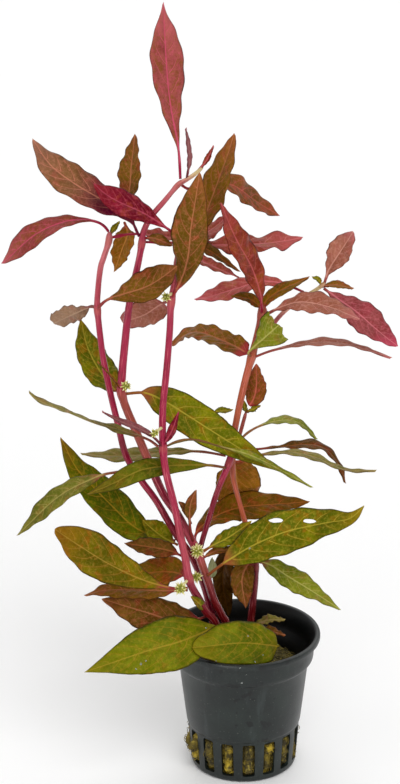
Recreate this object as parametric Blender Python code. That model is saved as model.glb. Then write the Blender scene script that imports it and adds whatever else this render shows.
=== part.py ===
"""Alternanthera reineckii in its net pot, as sold for planting in an aquarium.

The origin is the centre of the pot's foot, +Z is up and -Y faces the viewer of
the photograph. Lengths are millimetres until a mesh is made.
"""

import math
from dataclasses import dataclass
from enum import Enum
from typing import NamedTuple

import bmesh
import bpy
from mathutils import Vector

MM = 0.001
GAP = 0.3
WELD = 0.00003

# Net pot, a common size of 55 mm across the rim
POT_RIM_RADIUS = 27.5
POT_LIP_RADIUS = 26.6
POT_HEIGHT = 51.0
POT_RIM_DEPTH = 2.4
POT_COLLAR_RADIUS = 25.4
POT_COLLAR_FOOT = 41.5
POT_BODY_RADIUS = 23.4
POT_WAIST_RADIUS = 20.5
POT_WAIST = 16.5
POT_FOOT_RADIUS = 17.4
POT_FOOT_ROUNDING = 1.6
POT_WALL = 1.1
POT_FLOOR = 1.4
POT_SIDES = 40
SLOT_COUNT = 16
SLOT_WIDTH = 4.4
SLOT_FOOT = 2.6
SLOT_TOP = 15.6
SLOT_TURN = math.radians(5.5)
SLOT_CUT_FROM = 14.0
SLOT_CUT_TO = 26.0

# Mineral wool in the pot
WOOL_TOP = 38.5
WOOL_LUMP = 1.1
WOOL_SIDES = 20
WOOL_CLEARANCE = 0.5
WOOL_CROWN_RADIUS = 13.0
WOOL_MIDDLE_RADIUS = 6.5
LUMP_RATE_ACROSS = 0.55
LUMP_RATE_ALONG = 0.47
ROOT_DEPTH = 9.0
ROOT_LEAN = 1.5
SOCKET_ROOM = 1.1

# Leaves and stems
STEM_SIDES = 8
STEM_STEP = 7.0
NODE_SWELL = 0.22
NODE_REACH = 4.0
LEAF_ROWS = 8
SPRIG_ROWS = 5
LONG_LEAF = 22.0
MIDRIB_STEP = 0.5
LEAF_THICKNESS = 0.8
PETIOLE_RADIUS = 0.55
PETIOLE_FLARE = 0.03
RIPPLE_RATE = 15.0
FULL_BLADE = 0.25
SIDEWAYS_SHARE = 0.1
TEPAL_HOLLOW = 0.74
SMOOTH_EDGE = math.radians(45)

# Roughness of the surfaces
STEM_ROUGHNESS = 0.45
LEAF_ROUGHNESS = 0.5
FLOWER_ROUGHNESS = 0.7
POT_ROUGHNESS = 0.4
WOOL_ROUGHNESS = 0.95

# The view in which the plant was measured: a picture of 400 x 784 pixels
VIEW_DISTANCE = 800.0
VIEW_AIM_HEIGHT = 150.0
VIEW_PITCH = math.radians(20.0)
VIEW_FOCAL_LENGTH = 2330.0
VIEW_COLUMN = 243.5
VIEW_ROW = 371.0

# Depth that the picture doesn't show: the plant sways and its leaves reach out
SWAY_ACROSS = 11.0
SWAY_COLUMN = 185.0
SWAY_WIDTH = 75.0
SWAY_ALONG = 3.5
SWAY_FOOT_ROW = 632.0
SWAY_HEIGHT = 62.0
SWAY_GROWTH = 220.0
LEAF_REACH = 1.5
TO_VIEWER = Vector((0.0, -math.cos(VIEW_PITCH), math.sin(VIEW_PITCH)))


class Spot(NamedTuple):
    """A point of the plant: its pixel in the photograph and its depth, +Y, in mm."""

    column: float
    row: float
    depth: float


class Tone(Enum):
    """Main colour of a piece, linear RGB."""

    GREEN = (0.16, 0.18, 0.012)
    OLIVE = (0.15, 0.10, 0.012)
    BROWN = (0.19, 0.06, 0.015)
    RED = (0.33, 0.06, 0.05)
    PINK = (0.36, 0.07, 0.10)
    CRIMSON = (0.37, 0.02, 0.08)
    SALMON = (0.42, 0.10, 0.06)
    CREAM = (0.62, 0.58, 0.28)
    POT = (0.05, 0.062, 0.066)
    WOOL = (0.35, 0.22, 0.04)


@dataclass(frozen=True)
class Leaf:
    """One leaf: midrib route, width of the blade and how its face is turned.

    turn is the angle in degrees from facing the viewer: 90 faces up, above 90
    shows the underside. twist is added from base to tip. cut is where along the
    midrib a torn leaf ends.
    """

    route: tuple[Spot, ...]
    width: float
    turn: float
    tone: Tone
    twist: float = 0.0
    fold: float = 14.0
    petiole: float = 0.12
    widest: float = 0.42
    fullness: float = 0.9
    ripple: float = 0.4
    start: float = 2.1
    cut: float = 1.0


@dataclass(frozen=True)
class Stem:
    """One stem: route from the ground or fork upwards, radii and node rows.

    taper is how late the radius changes on the way up: above 1 near the tip.
    """

    route: tuple[Spot, ...]
    foot_radius: float
    tip_radius: float
    tone: Tone
    nodes: tuple[Spot, ...] = ()
    rooted: bool = False
    taper: float = 1.0


def path(*spots: tuple[float, float, float]) -> tuple[Spot, ...]:
    """Spots from plain triples of column, row and depth."""
    return tuple(Spot(*spot) for spot in spots)


STEMS: dict[str, Stem] = {
    "stem_left": Stem(
        path(
            (214, 628, 1), (205.5, 590, 0), (192, 557, -1.5), (175, 532.5, -2), (156.5, 501, -2.6),
            (141.5, 480.5, -3), (126, 455, -3), (117, 420, -3.2), (112, 400, -3.4), (105.5, 370, -3.6),
            (102, 350, -3.7), (97.5, 310, -4), (98, 290, -4), (100.5, 268, -4), (103.5, 258, -4),
            (108.6, 242, -4), (109.6, 232, -3.9),
        ),
        1.4, 0.95, Tone.CRIMSON, path((97.5, 310, -4), (109, 240, -4)), True,
    ),
    "stem_centre": Stem(
        path(
            (227, 628, -3.5), (222, 616, -3.8), (214, 600, -4.4), (207.5, 580, -5), (201.5, 563, -5.4),
            (198, 552, -5.6), (192, 541, -5.8), (184, 526, -6), (176, 512, -6.4), (164, 495, -6.8),
            (154.6, 475, -7), (144, 450, -7), (135.5, 430, -7), (127, 410, -7), (123.5, 400, -7),
            (121.6, 390, -7), (122.6, 370, -7), (124.4, 350, -7), (128.6, 310, -7), (132.4, 290, -7),
            (138.6, 262, -7), (142, 243, -7), (143.5, 232, -7), (151, 217, -7), (164.5, 201, -7),
            (178, 185, -7), (186, 180, -7), (195, 174, -7), (203, 167, -7),
        ),
        1.5, 0.6, Tone.CRIMSON,
        path((198, 552, -5.6), (122, 392, -7), (142, 243, -7), (178, 185, -7)), True, 4.0,
    ),
    "stem_front": Stem(
        path(
            (218, 629, -8), (206.5, 612, -9), (199.5, 600, -10), (191.5, 586, -11), (188, 575, -11.4),
            (185.7, 560, -11.8), (181.5, 540, -12.2), (177.5, 520, -12.5), (173, 500, -12.8),
            (165.7, 470, -13), (163, 445, -13), (162.8, 410, -13), (166.6, 370, -13),
            (169.8, 330, -13), (171, 305, -13), (174, 285, -12.4), (177, 268, -11.4),
            (179, 245, -10.5), (178, 232, -10.5),
        ),
        1.5, 1.05, Tone.CRIMSON,
        path((189, 578, -11.3), (163, 448, -13), (171, 302, -13), (177.5, 264, -11.2)), True,
    ),
    "stem_right": Stem(
        path(
            (200.5, 547, -1.4), (203.5, 536, -1.6), (208.5, 520, -2), (214.3, 500, -2.2),
            (221, 482, -2.2), (227, 468, -2.1), (231, 455, -2), (234.6, 430, -1.6),
            (240.5, 400, -1), (246.5, 375, -0.5), (251.5, 357, 0), (257.5, 335, 0), (262, 314, 0),
            (262, 305, 0),
        ),
        0.95, 1.4, Tone.SALMON, path((229, 463, -2), (251, 357, 0), (262, 314, 0)),
    ),
    "shoot_right": Stem(
        path(
            (265, 345, 4.2), (270, 330, 4.2), (279, 317, 3), (291, 306, 2), (306, 296, 1),
            (318, 288.5, 0.5), (323, 284.5, 0.2), (325.5, 282, 0),
        ),
        0.9, 0.62, Tone.PINK, path((324, 284, 0)),
    ),
    "stem_rear": Stem(
        path(
            (250, 632, 2.5), (251, 618, 3), (253, 600, 3), (255, 580, 3), (255, 562, 3),
            (252, 545, 3), (247, 529, 3), (241, 508, 3), (236, 490, 3), (233, 477, 3),
            (233, 462, 3), (236, 448, 3), (241, 430, 3), (246, 412, 3),
        ),
        2.1, 0.65, Tone.SALMON, path((255, 566, 3), (233, 472, 3)), True, 0.5,
    ),
}

LEAVES: dict[str, Leaf] = {
    # Left stem
    "leaf_left_tip_up": Leaf(
        path((122, 216, -2), (129.5, 190, 0), (131.5, 165, 2), (135.5, 134, 4)),
        8.4, 28, Tone.GREEN, widest=0.44,
    ),
    "leaf_left_tip_down": Leaf(
        path((124, 221, 0.4), (127.5, 234, 2.6), (121.5, 251, 3), (114.5, 272, 3)),
        8, 25, Tone.OLIVE, start=3,
    ),
    "leaf_left_upper": Leaf(
        path(
            (109.5, 233, -4), (104.5, 226.5, -4.6), (97, 222, -5.2), (84, 220, -6.2),
            (62, 222.5, -7.8), (34, 235.5, -10), (2, 264, -12),
        ),
        9.4, 45, Tone.RED, twist=-15, petiole=0.14, widest=0.62, ripple=0.2, fold=8,
    ),
    "leaf_left_mid_small": Leaf(
        path((97, 310, -4), (91, 306.5, -1), (74, 313.5, 4), (52.5, 323.5, 8)),
        8.2, 140, Tone.PINK, petiole=0.2, widest=0.62, fullness=0.45, fold=6,
    ),
    "leaf_left_mid": Leaf(
        path((97, 309, -5), (107, 300, -9), (124, 294, -12), (150, 285, -13.5), (178, 266, -15.5)),
        11.7, 22, Tone.OLIVE, petiole=0.2, widest=0.6, fold=8,
    ),
    "leaf_left_low": Leaf(
        path((135, 470, -3), (118, 472, -6), (97, 477, -8), (58, 497, -10), (17, 536, -12)),
        7.6, 28, Tone.GREEN, petiole=0.28, fold=8, start=2.6,
    ),
    "leaf_left_foot": Leaf(
        path(
            (178, 541, 1.4), (155, 536.5, 3.4), (133, 526, 4.6), (112, 506, 5.6), (89, 482.5, 7.2),
            (75, 466, 8), (60, 437, 9),
        ),
        13, 22, Tone.OLIVE, petiole=0.1, fold=8,
    ),
    # Centre stem
    "leaf_centre_crown": Leaf(
        path(
            (180.5, 181, -7.5), (178.5, 150, -8.4), (172.5, 118, -8.6), (168.5, 90, -8),
            (165.8, 55, -6.6), (163, 2, -4),
        ),
        12.2, 28, Tone.PINK, petiole=0.1, widest=0.62, fullness=1.25, fold=8,
    ),
    "leaf_centre_crown_right": Leaf(
        path(
            (180, 184, -6), (190, 189, -2), (208, 185, 2), (232, 185, 6), (255, 200.5, 9),
            (279, 216, 11),
        ),
        10.4, 42, Tone.BROWN, petiole=0.26, widest=0.5, fold=6,
    ),
    "leaf_centre_upper_left": Leaf(
        path(
            (140, 238, -7), (127, 214.5, -7.5), (99.5, 198.5, -7), (73.5, 183, -6), (50, 164.5, -4.5),
            (32, 139, -3),
        ),
        12.6, 30, Tone.OLIVE, petiole=0.08, widest=0.55, fold=6,
    ),
    "leaf_centre_upper_right": Leaf(
        path(
            (144, 242, -6), (170, 242.5, -2), (212, 245, 4), (255, 244, 7), (280, 241.5, 9),
            (303, 238, 10),
        ),
        9, 42, Tone.PINK, petiole=0.14, widest=0.72, ripple=0.9, fold=4,
    ),
    "leaf_centre_mid_left": Leaf(
        path((121, 393, -5), (113, 388, -0.4), (98.5, 369, 4), (87, 346, 6), (80.5, 319, 7)),
        11.6, 22, Tone.GREEN, petiole=0.1, fold=8,
    ),
    "leaf_centre_mid_right": Leaf(
        path(
            (123, 394, -7.5), (145, 393, -8.6), (165, 401.5, -8.4), (187, 415, -8.2),
            (212, 431, -8.2), (245, 451.5, -8.4), (279, 471, -8.6),
        ),
        13, 8, Tone.GREEN, petiole=0.1, widest=0.36, fold=4,
    ),
    "leaf_centre_low_holed": Leaf(
        path(
            (206, 577, -6.5), (217, 568, -8.5), (229, 560, -9.5), (252, 546, -10.5),
            (285, 532, -12), (325, 523, -13.5), (350, 518.5, -14.5), (365, 505, -15),
        ),
        15.8, 20, Tone.GREEN, petiole=0.14, widest=0.38, ripple=0.7, fold=6, fullness=1.05,
    ),
    "leaf_centre_low_brown": Leaf(
        path(
            (196, 547, -4), (195.5, 535, 0), (205, 523.5, 2.4), (220, 514, 4.6), (240, 507.5, 6),
            (262, 505, 6.6), (310, 502, 7),
        ),
        11.4, 30, Tone.BROWN, petiole=0.1, widest=0.48, fold=6,
    ),
    "leaf_centre_foot_brown": Leaf(
        path(
            (214, 611, -5), (200, 618.5, -7), (175, 620.5, -8.5), (145, 612, -9), (120, 604.5, -9),
            (101, 599, -9),
        ),
        14, 20, Tone.BROWN, petiole=0.14, ripple=0.7, fold=6, start=2.6,
    ),
    "leaf_over_rim": Leaf(
        path(
            (252, 629, -0.5), (266, 640, -4), (278.5, 646, -7.8), (268, 645, -10.8),
            (240, 643, -13.2), (192, 648, -14.9),
        ),
        16.4, 25, Tone.GREEN, petiole=0.33, widest=0.42, fullness=0.5, fold=4, start=2.8,
    ),
    # Front stem
    "leaf_front_foot_green": Leaf(
        path(
            (220, 625, -10.4), (205, 631.5, -14.2), (180, 641.5, -19.2), (150, 650, -21.4),
            (120, 660, -22.4), (84, 672.5, -23.4),
        ),
        18.8, 14, Tone.GREEN, petiole=0.03, widest=0.4, fullness=1.1, fold=4,
    ),
    "leaf_front_top": Leaf(
        path(
            (171, 299, -14), (181, 281, -15.5), (188, 257, -16.5), (191, 228, -17),
            (195.5, 200, -17), (200, 172, -16),
        ),
        12.3, 14, Tone.OLIVE, petiole=0.07, widest=0.52, fold=8,
    ),
    "leaf_front_top_back": Leaf(
        path(
            (182, 263, -10.4), (190, 249, -9.2), (199, 230, -8), (208.5, 207, -7),
            (218.5, 180, -6.6), (229, 151, -6.6), (235, 133, -7),
        ),
        11, 32, Tone.OLIVE, petiole=0.14, widest=0.52, fold=8, start=2.4,
    ),
    "leaf_front_top_left": Leaf(
        path(
            (178, 236, -11), (165, 227, -12), (143, 213, -12), (118, 201.5, -12),
            (104, 193, -11.6), (93, 183.5, -11),
        ),
        9.8, 28, Tone.PINK, widest=0.62, ripple=0.2, fold=6,
    ),
    "leaf_front_upper_left": Leaf(
        path((169, 301, -11.5), (159, 305, -4), (143, 315, 0), (121, 322, 4)),
        10.5, 152, Tone.PINK, petiole=0.22, fullness=0.45, fold=4,
    ),
    "leaf_front_mid_left": Leaf(
        path(
            (160, 448, -13.6), (147, 439, -13), (120, 430, -12), (95, 422.5, -11),
            (70, 412.5, -10.5), (40, 400.5, -10), (28, 391, -10),
        ),
        7.4, 34, Tone.GREEN, twist=104, petiole=0.16, fold=3, ripple=0.2,
    ),
    "leaf_front_mid_right": Leaf(
        path(
            (165, 447, -13.6), (176, 442, -14), (190, 439.5, -14), (205, 442, -13.5),
            (225, 448, -13), (245, 453.5, -12.5), (262, 460.5, -12), (285, 472.5, -12), (313, 488, -12),
        ),
        3.6, 45, Tone.GREEN, petiole=0.4, fold=4, ripple=0.2,
    ),
    "leaf_front_low_brown": Leaf(
        path((184, 557, -11.6), (170, 551, -9), (150, 547, -8), (124, 543.5, -6.6)),
        7.2, 25, Tone.RED, petiole=0.12, fold=6,
    ),
    "leaf_front_low_rear": Leaf(
        path((187, 577, -11), (172, 572, -4.6), (149, 573, -2.2), (122, 580, 0.8)),
        11.6, 25, Tone.BROWN, petiole=0.08, widest=0.34, fold=6,
    ),
    "leaf_front_low_broad": Leaf(
        path(
            (190, 588, -12), (172, 588, -13), (144, 580.5, -14), (109, 564, -15), (79, 545.5, -15.5),
            (54, 529, -16),
        ),
        15, 25, Tone.GREEN, petiole=0.14, widest=0.62, fullness=0.7, fold=8,
    ),
    "leaf_front_low_under": Leaf(
        path((190, 590, -10.4), (170, 591, -9), (135, 590, -8.4), (104, 590.5, -8), (84, 596, -8)),
        8, 40, Tone.RED, petiole=0.14, ripple=0.4, fold=4,
    ),
    # Right stem
    "leaf_right_top": Leaf(
        path((262, 314, -1), (260, 293, -5), (251, 266, -7), (236, 239, -9), (220, 202, -10)),
        9.3, 28, Tone.RED, petiole=0.1, widest=0.5, fold=8,
    ),
    "leaf_right_top_right": Leaf(
        path((263, 317, -1), (276, 309.5, -4), (300, 302, -7), (331, 307.5, -9), (360, 320, -11)),
        9.8, 42, Tone.PINK, petiole=0.14, widest=0.5, fold=6,
    ),
    "leaf_right_torn": Leaf(
        path((251, 357, -0.5), (249, 352, -3), (262, 340, -6), (280, 324, -8), (300, 306, -9)),
        12.5, 12, Tone.GREEN, petiole=0.1, widest=0.6, fullness=1.4, cut=0.65, fold=6,
    ),
    "leaf_right_upper_left": Leaf(
        path(
            (250, 355, 1), (238, 347, 2), (220, 338.5, 1), (200, 331.5, -1), (185, 334, -4),
            (171, 346, -6),
        ),
        9.6, 142, Tone.OLIVE, twist=-20, petiole=0.04, widest=0.26, fold=4, fullness=0.6,
    ),
    "leaf_right_upper_right": Leaf(
        path(
            (252, 358, 0), (272, 350.5, -3), (300, 344.5, -5), (327, 342, -5.5), (355, 346, -6),
            (392, 358.5, -7),
        ),
        7.2, 68, Tone.OLIVE, petiole=0.18, fold=4, ripple=0.2,
    ),
    "leaf_right_mid_arched": Leaf(
        path(
            (238, 442, -1.5), (248, 432.5, 0), (262, 425, 1), (285, 420, 3), (302, 424.5, 4),
            (317, 440, 5),
        ),
        6.5, 66, Tone.GREEN, petiole=0.28, widest=0.5, fold=4, ripple=0.2,
    ),
    "leaf_right_mid_dark": Leaf(
        path(
            (234, 452, -2), (258, 449, -2), (285, 446.3, -1), (311, 444.5, 0), (327, 450, 0.5),
            (340, 467, 1), (345, 484, 1),
        ),
        5.8, 60, Tone.BROWN, petiole=0.2, widest=0.52, fold=4, ripple=0.3,
    ),
    "leaf_right_mid_green": Leaf(
        path(
            (234, 457, -3), (262, 454.5, -7), (292, 452.5, -8), (316, 457.5, -9),
            (332, 465, -9.5), (350, 470.5, -10), (377, 471, -10),
        ),
        6, 68, Tone.GREEN, petiole=0.16, fold=3, ripple=0.2,
    ),
    "leaf_right_mid_left": Leaf(
        path(
            (228, 456, -1), (200, 451.5, 0), (170, 452, 1), (140, 455, 2), (115, 456, 2.5),
            (80, 454, 3),
        ),
        8, 57, Tone.GREEN, petiole=0.2, widest=0.55, fold=6, ripple=0.3,
    ),
    "leaf_right_mid_low": Leaf(
        path(
            (227, 468, -3), (212, 465.5, -6.7), (195, 465, -8), (167, 466, -8.1),
            (140, 470.5, -9.1), (112, 484, -9.6), (87, 494.5, -10.4),
        ),
        7.4, 16, Tone.GREEN, petiole=0.14, widest=0.55, fold=3, ripple=0.2,
    ),
    # Side shoot of the right stem
    "leaf_shoot_left": Leaf(
        path(
            (306, 293, 1), (285, 284.5, 4), (262, 281.5, 6.4), (238, 288, 7), (215, 295, 7.4),
            (194, 300, 8),
        ),
        8.8, 42, Tone.PINK, petiole=0.1, widest=0.6, fold=6,
    ),
    "leaf_shoot_right": Leaf(
        path((322, 287, -0.5), (336, 297.5, -3), (355.5, 311, -4.5), (376, 329, -6), (398, 347, -7)),
        11.6, 28, Tone.RED, petiole=0.06, widest=0.54, fold=6,
    ),
    "leaf_shoot_tip": Leaf(
        path((324, 284, -0.6), (330, 268, -1), (340.5, 251.5, -1), (354, 231, -1)),
        9.2, 26, Tone.PINK, petiole=0.12, widest=0.56, fold=6,
    ),
    # Rear stem
    "leaf_rear_top": Leaf(
        path((248, 408, 3), (254, 398, 3), (256.5, 385, 3), (256.5, 363, 2)),
        8, 18, Tone.BROWN, petiole=0.05, widest=0.38, fold=6, start=2.4,
    ),
    "leaf_rear_mid": Leaf(
        path((233, 459, 5), (235, 465, 9), (237.5, 488, 13), (240, 521, 15)),
        16.8, 10, Tone.OLIVE, petiole=0.1, fullness=0.6, fold=4,
    ),
    "leaf_rear_low_right": Leaf(
        path((255, 561, 2.4), (270, 565, -1), (289, 577, -3), (315, 593, -6), (341, 610.5, -8)),
        8.8, 28, Tone.GREEN, petiole=0.08, widest=0.38, fullness=1.0, fold=6,
    ),
    "leaf_rear_hanging_dark": Leaf(
        path((250, 548, 4), (238, 549, 8), (226, 560, 9.4), (223, 585, 10), (229, 616, 10)),
        7.8, 18, Tone.BROWN, petiole=0.1, widest=0.5, fullness=0.6, fold=6,
    ),
    "leaf_rear_hanging_olive": Leaf(
        path((254, 560, 1.5), (247, 566, -0.8), (242, 581, -2.2), (246, 608, -1.8)),
        9, 15, Tone.OLIVE, petiole=0.08, widest=0.4, fold=6,
    ),
}

# Small leaves and stalks, one piece with the stem that they grow from
SPRIGS: dict[str, tuple[Leaf, ...]] = {
    "stem_left": (
        Leaf(
            path((109, 236, -3.9), (114, 229, -3.4), (120, 221, -3)), 2.4, 30, Tone.GREEN,
            start=0, ripple=0.1,
        ),
        Leaf(
            path((109, 238, -3.8), (132, 234, -1), (160, 236, 3), (196, 241, 7)),
            5, 40, Tone.PINK, petiole=0.3, start=0,
        ),
        Leaf(path((178, 545, -1.8), (161, 536, 0), (142, 520, 1)), 9, 25, Tone.GREEN, start=0),
    ),
    "stem_centre": (
        Leaf(
            path((187, 178, -7), (189.5, 160, -8), (188, 143, -8.6), (185.5, 127, -9)),
            3, 55, Tone.PINK, start=0, fold=4, ripple=0.1,
        ),
        Leaf(
            path((199, 170, -7), (207, 160, -7), (214, 145, -7)), 2.2, 30, Tone.RED, start=0,
            ripple=0.1,
        ),
        Leaf(
            path((122, 390, -7.4), (111, 376, -10), (97, 361, -12)), 1.2, 60, Tone.BROWN,
            start=0, fold=0, ripple=0,
        ),
        Leaf(
            path((143.5, 238, -7), (156, 239, -9), (173, 246, -9.6)), 4.4, 30, Tone.OLIVE,
            start=0, ripple=0.1,
        ),
        Leaf(
            path((199, 554, -5.6), (212, 546, -5), (230, 536.5, -4.4), (252, 521, -3.6)),
            6, 25, Tone.GREEN, petiole=0.2, start=0, fold=6,
        ),
        Leaf(
            path((201, 559, -5.4), (217, 551, -3.6), (233, 551, -3)), 2.8, 30, Tone.OLIVE,
            start=0, ripple=0.1,
        ),
        Leaf(
            path((210, 580, -5), (212, 571, -2), (212, 557, -1)), 3.6, 20, Tone.GREEN, start=0,
            ripple=0.1,
        ),
        Leaf(
            path(
                (195, 547, -5.7), (190.5, 531, -8.4), (189.5, 514, -9), (191, 502, -9.4),
                (196.5, 489, -9.6),
            ),
            4.6, 20, Tone.OLIVE, petiole=0.52, start=0, ripple=0.1,
        ),
        Leaf(
            path((191, 524, -8.8), (185, 509, -9.4), (178, 501, -9.6)), 3, 30, Tone.RED,
            petiole=0.3, start=0, ripple=0.1,
        ),
    ),
    "stem_front": (
        Leaf(
            path(
                (163, 447, -13.4), (152, 436, -15.8), (135, 427, -16.4), (119, 421, -16.6),
                (101, 411, -16.6),
            ),
            3.4, 50, Tone.RED, petiole=0.2, start=0, ripple=0.1,
        ),
        Leaf(
            path((163, 446, -13.4), (172, 431, -16.4), (179, 411, -17)), 3.2, 24, Tone.CRIMSON,
            start=0, ripple=0.1,
        ),
        Leaf(
            path((178, 252, -10.8), (190, 247, -4), (208, 250, -2.4), (240, 272, -1)),
            4.6, 35, Tone.BROWN, start=0, ripple=0.2,
        ),
        Leaf(
            path((206, 611, -9.2), (199, 603.5, -11.4), (190.5, 596, -12.6)), 3.6, 30, Tone.GREEN,
            start=0, ripple=0.1,
        ),
        Leaf(
            path((177, 262, -11.2), (188, 255, -6), (207, 263, -5), (240, 278, -3.4)),
            4.6, 140, Tone.PINK, start=0, ripple=0.3,
        ),
        Leaf(
            path((178, 246, -10.6), (200, 236, 0), (215, 227, 3), (230, 214, 5)),
            8, 30, Tone.PINK, start=0,
        ),
    ),
    "stem_right": (
        Leaf(
            path((262, 311, 0), (268, 299, 1), (283, 289, 1), (310, 277, 3)),
            6.4, 45, Tone.BROWN, petiole=0.05, widest=0.36, start=0, fold=6, ripple=0.1,
        ),
        Leaf(
            path((262, 309, 0), (249, 299, 1), (230, 296, 0)), 5, 40, Tone.BROWN, start=0,
            petiole=0.05, widest=0.36, ripple=0.1,
        ),
        Leaf(
            path((234.4, 431, -1.6), (222, 418, -0.6), (213, 413, 0)), 1.2, 50, Tone.BROWN,
            start=0, fold=0, ripple=0,
        ),
        Leaf(
            path((211.5, 413.5, 0), (220, 411, 0.2), (233, 410, 1)), 3, 40, Tone.GREEN,
            start=0, ripple=0.1,
        ),
    ),
    "shoot_right": (
        Leaf(
            path((320, 287, 0.4), (336, 285, 1), (354, 289, 2)), 4, 45, Tone.OLIVE, start=0,
            ripple=0.1,
        ),
        Leaf(
            path((321.5, 285.8, 0.3), (318, 279.5, 1), (312, 277, 2)), 2.4, 40, Tone.GREEN, start=0,
            ripple=0.1,
        ),
    ),
    "stem_rear": (
        Leaf(path((246, 412, 3), (244.5, 407, 1.4), (244, 400, 1)), 2, 20, Tone.GREEN, start=0),
        Leaf(path((246, 412, 3), (254, 409, 1.6), (261, 405, 1)), 2, 20, Tone.GREEN, start=0),
        Leaf(path((251, 626, 2.8), (268, 620, 0), (286, 620, -2)), 4, 45, Tone.OLIVE, start=0),
        Leaf(path((251, 632, 2.6), (270, 631, -2), (286, 636, -4)), 4, 45, Tone.BROWN, start=0),
    ),
}

class Flower(NamedTuple):
    """One flower head: the middle of its ball and its radius in mm."""

    spot: Spot
    radius: float


FLOWERS: dict[str, Flower] = {
    "flower_head_low": Flower(Spot(180.5, 588.5, -17), 1.9),
    "flower_head_foot": Flower(Spot(196.5, 577, -8.6), 1.8),
    "flower_head_fork": Flower(Spot(197, 551, -10), 2.1),
    "flower_head_left": Flower(Spot(126, 386, -10.6), 1.6),
    "flower_head_mid": Flower(Spot(154.5, 433, -18.1), 1.4),
    "flower_head_top": Flower(Spot(166, 297, -16.8), 1.5),
}


def sway_at(spot: Spot) -> float:
    """How far the plant leans back at a spot, in mm: nothing at its foot."""
    growth = min(1.0, max(0.0, (SWAY_FOOT_ROW - spot.row) / SWAY_GROWTH))
    across = SWAY_ACROSS * math.sin((spot.column - SWAY_COLUMN) / SWAY_WIDTH)
    along = SWAY_ALONG * math.sin((spot.row - SWAY_FOOT_ROW) / SWAY_HEIGHT)
    return growth * (across + along)


def place(spot: Spot) -> Vector:
    """Point in millimetres that is seen at a spot's pixel at the spot's depth."""
    depth = spot.depth + sway_at(spot)
    slope = (VIEW_ROW - spot.row) / VIEW_FOCAL_LENGTH
    run = VIEW_DISTANCE + math.cos(VIEW_PITCH) * depth
    rise = (slope * run - math.sin(VIEW_PITCH) * depth) / (
        math.cos(VIEW_PITCH) + math.sin(VIEW_PITCH) * slope
    )
    across = (spot.column - VIEW_COLUMN) / VIEW_FOCAL_LENGTH * (run - math.sin(VIEW_PITCH) * rise)
    return Vector((across, depth, VIEW_AIM_HEIGHT + rise))


def leaf_spots(leaf: Leaf) -> list[Spot]:
    """Spots of a leaf's midrib, with its tip reaching out from its base in depth."""
    base = leaf.route[0].depth
    last = len(leaf.route) - 1
    spots = []
    for index, spot in enumerate(leaf.route):
        reach = 1 + (LEAF_REACH - 1) * index / last
        spots.append(Spot(spot.column, spot.row, base + (spot.depth - base) * reach))
    return spots


def smooth_route(points: list[Vector], step: float) -> list[Vector]:
    """Points every step mm along a Catmull-Rom curve through the given points."""
    ends = [points[0] * 2 - points[1], *points, points[-1] * 2 - points[-2]]
    fine = []
    for first, start, end, last in zip(ends, ends[1:], ends[2:], ends[3:]):
        for part in range(12):
            t = part / 12
            fine.append(
                0.5 * (
                    2 * start
                    + (end - first) * t
                    + (2 * first - 5 * start + 4 * end - last) * t * t
                    + (3 * start - first - 3 * end + last) * t * t * t
                )
            )
    fine.append(points[-1])
    lengths = [0.0]
    for before, after in zip(fine, fine[1:]):
        lengths.append(lengths[-1] + (after - before).length)
    count = max(2, round(lengths[-1] / step))
    route = []
    index = 0
    for number in range(count + 1):
        wanted = lengths[-1] * number / count
        while index < len(fine) - 2 and lengths[index + 1] < wanted:
            index += 1
        share = (wanted - lengths[index]) / max(lengths[index + 1] - lengths[index], 1e-9)
        route.append(fine[index].lerp(fine[index + 1], share))
    return route


def tangents_of(route: list[Vector]) -> list[Vector]:
    """Unit direction of a route at each of its points."""
    tangents = []
    for index in range(len(route)):
        before = route[max(index - 1, 0)]
        after = route[min(index + 1, len(route) - 1)]
        tangents.append((after - before).normalized())
    return tangents


def make_material(name: str, tone: Tone, roughness: float) -> bpy.types.Material:
    material = bpy.data.materials.new(name)
    material.use_nodes = True
    shader = material.node_tree.nodes["Principled BSDF"]
    shader.inputs["Base Color"].default_value = (*tone.value, 1.0)
    shader.inputs["Roughness"].default_value = roughness
    shader.inputs["Metallic"].default_value = 0.0
    return material


def make_object(name: str, mesh_data: bmesh.types.BMesh, tone: Tone, roughness: float) -> bpy.types.Object:
    """Object in metres from a mesh drawn in millimetres."""
    bmesh.ops.scale(mesh_data, vec=(MM, MM, MM), verts=mesh_data.verts)
    bmesh.ops.recalc_face_normals(mesh_data, faces=mesh_data.faces)
    mesh = bpy.data.meshes.new(name)
    mesh_data.to_mesh(mesh)
    mesh_data.free()
    mesh.shade_smooth()
    mesh.set_sharp_from_angle(angle=SMOOTH_EDGE)
    mesh.materials.append(make_material(name, tone, roughness))
    made = bpy.data.objects.new(name, mesh)
    bpy.context.collection.objects.link(made)
    return made


def make_cutter(name: str, mesh_data: bmesh.types.BMesh, tone: Tone) -> bpy.types.Object:
    cutter = make_object(name, mesh_data, tone, LEAF_ROUGHNESS)
    cutter.hide_render = True
    cutter.display_type = "WIRE"
    return cutter


def combine(target: bpy.types.Object, tool: bpy.types.Object, operation: str) -> None:
    modifier = target.modifiers.new(tool.name, "BOOLEAN")
    modifier.operation = operation
    modifier.solver = "EXACT"
    modifier.object = tool


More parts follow.
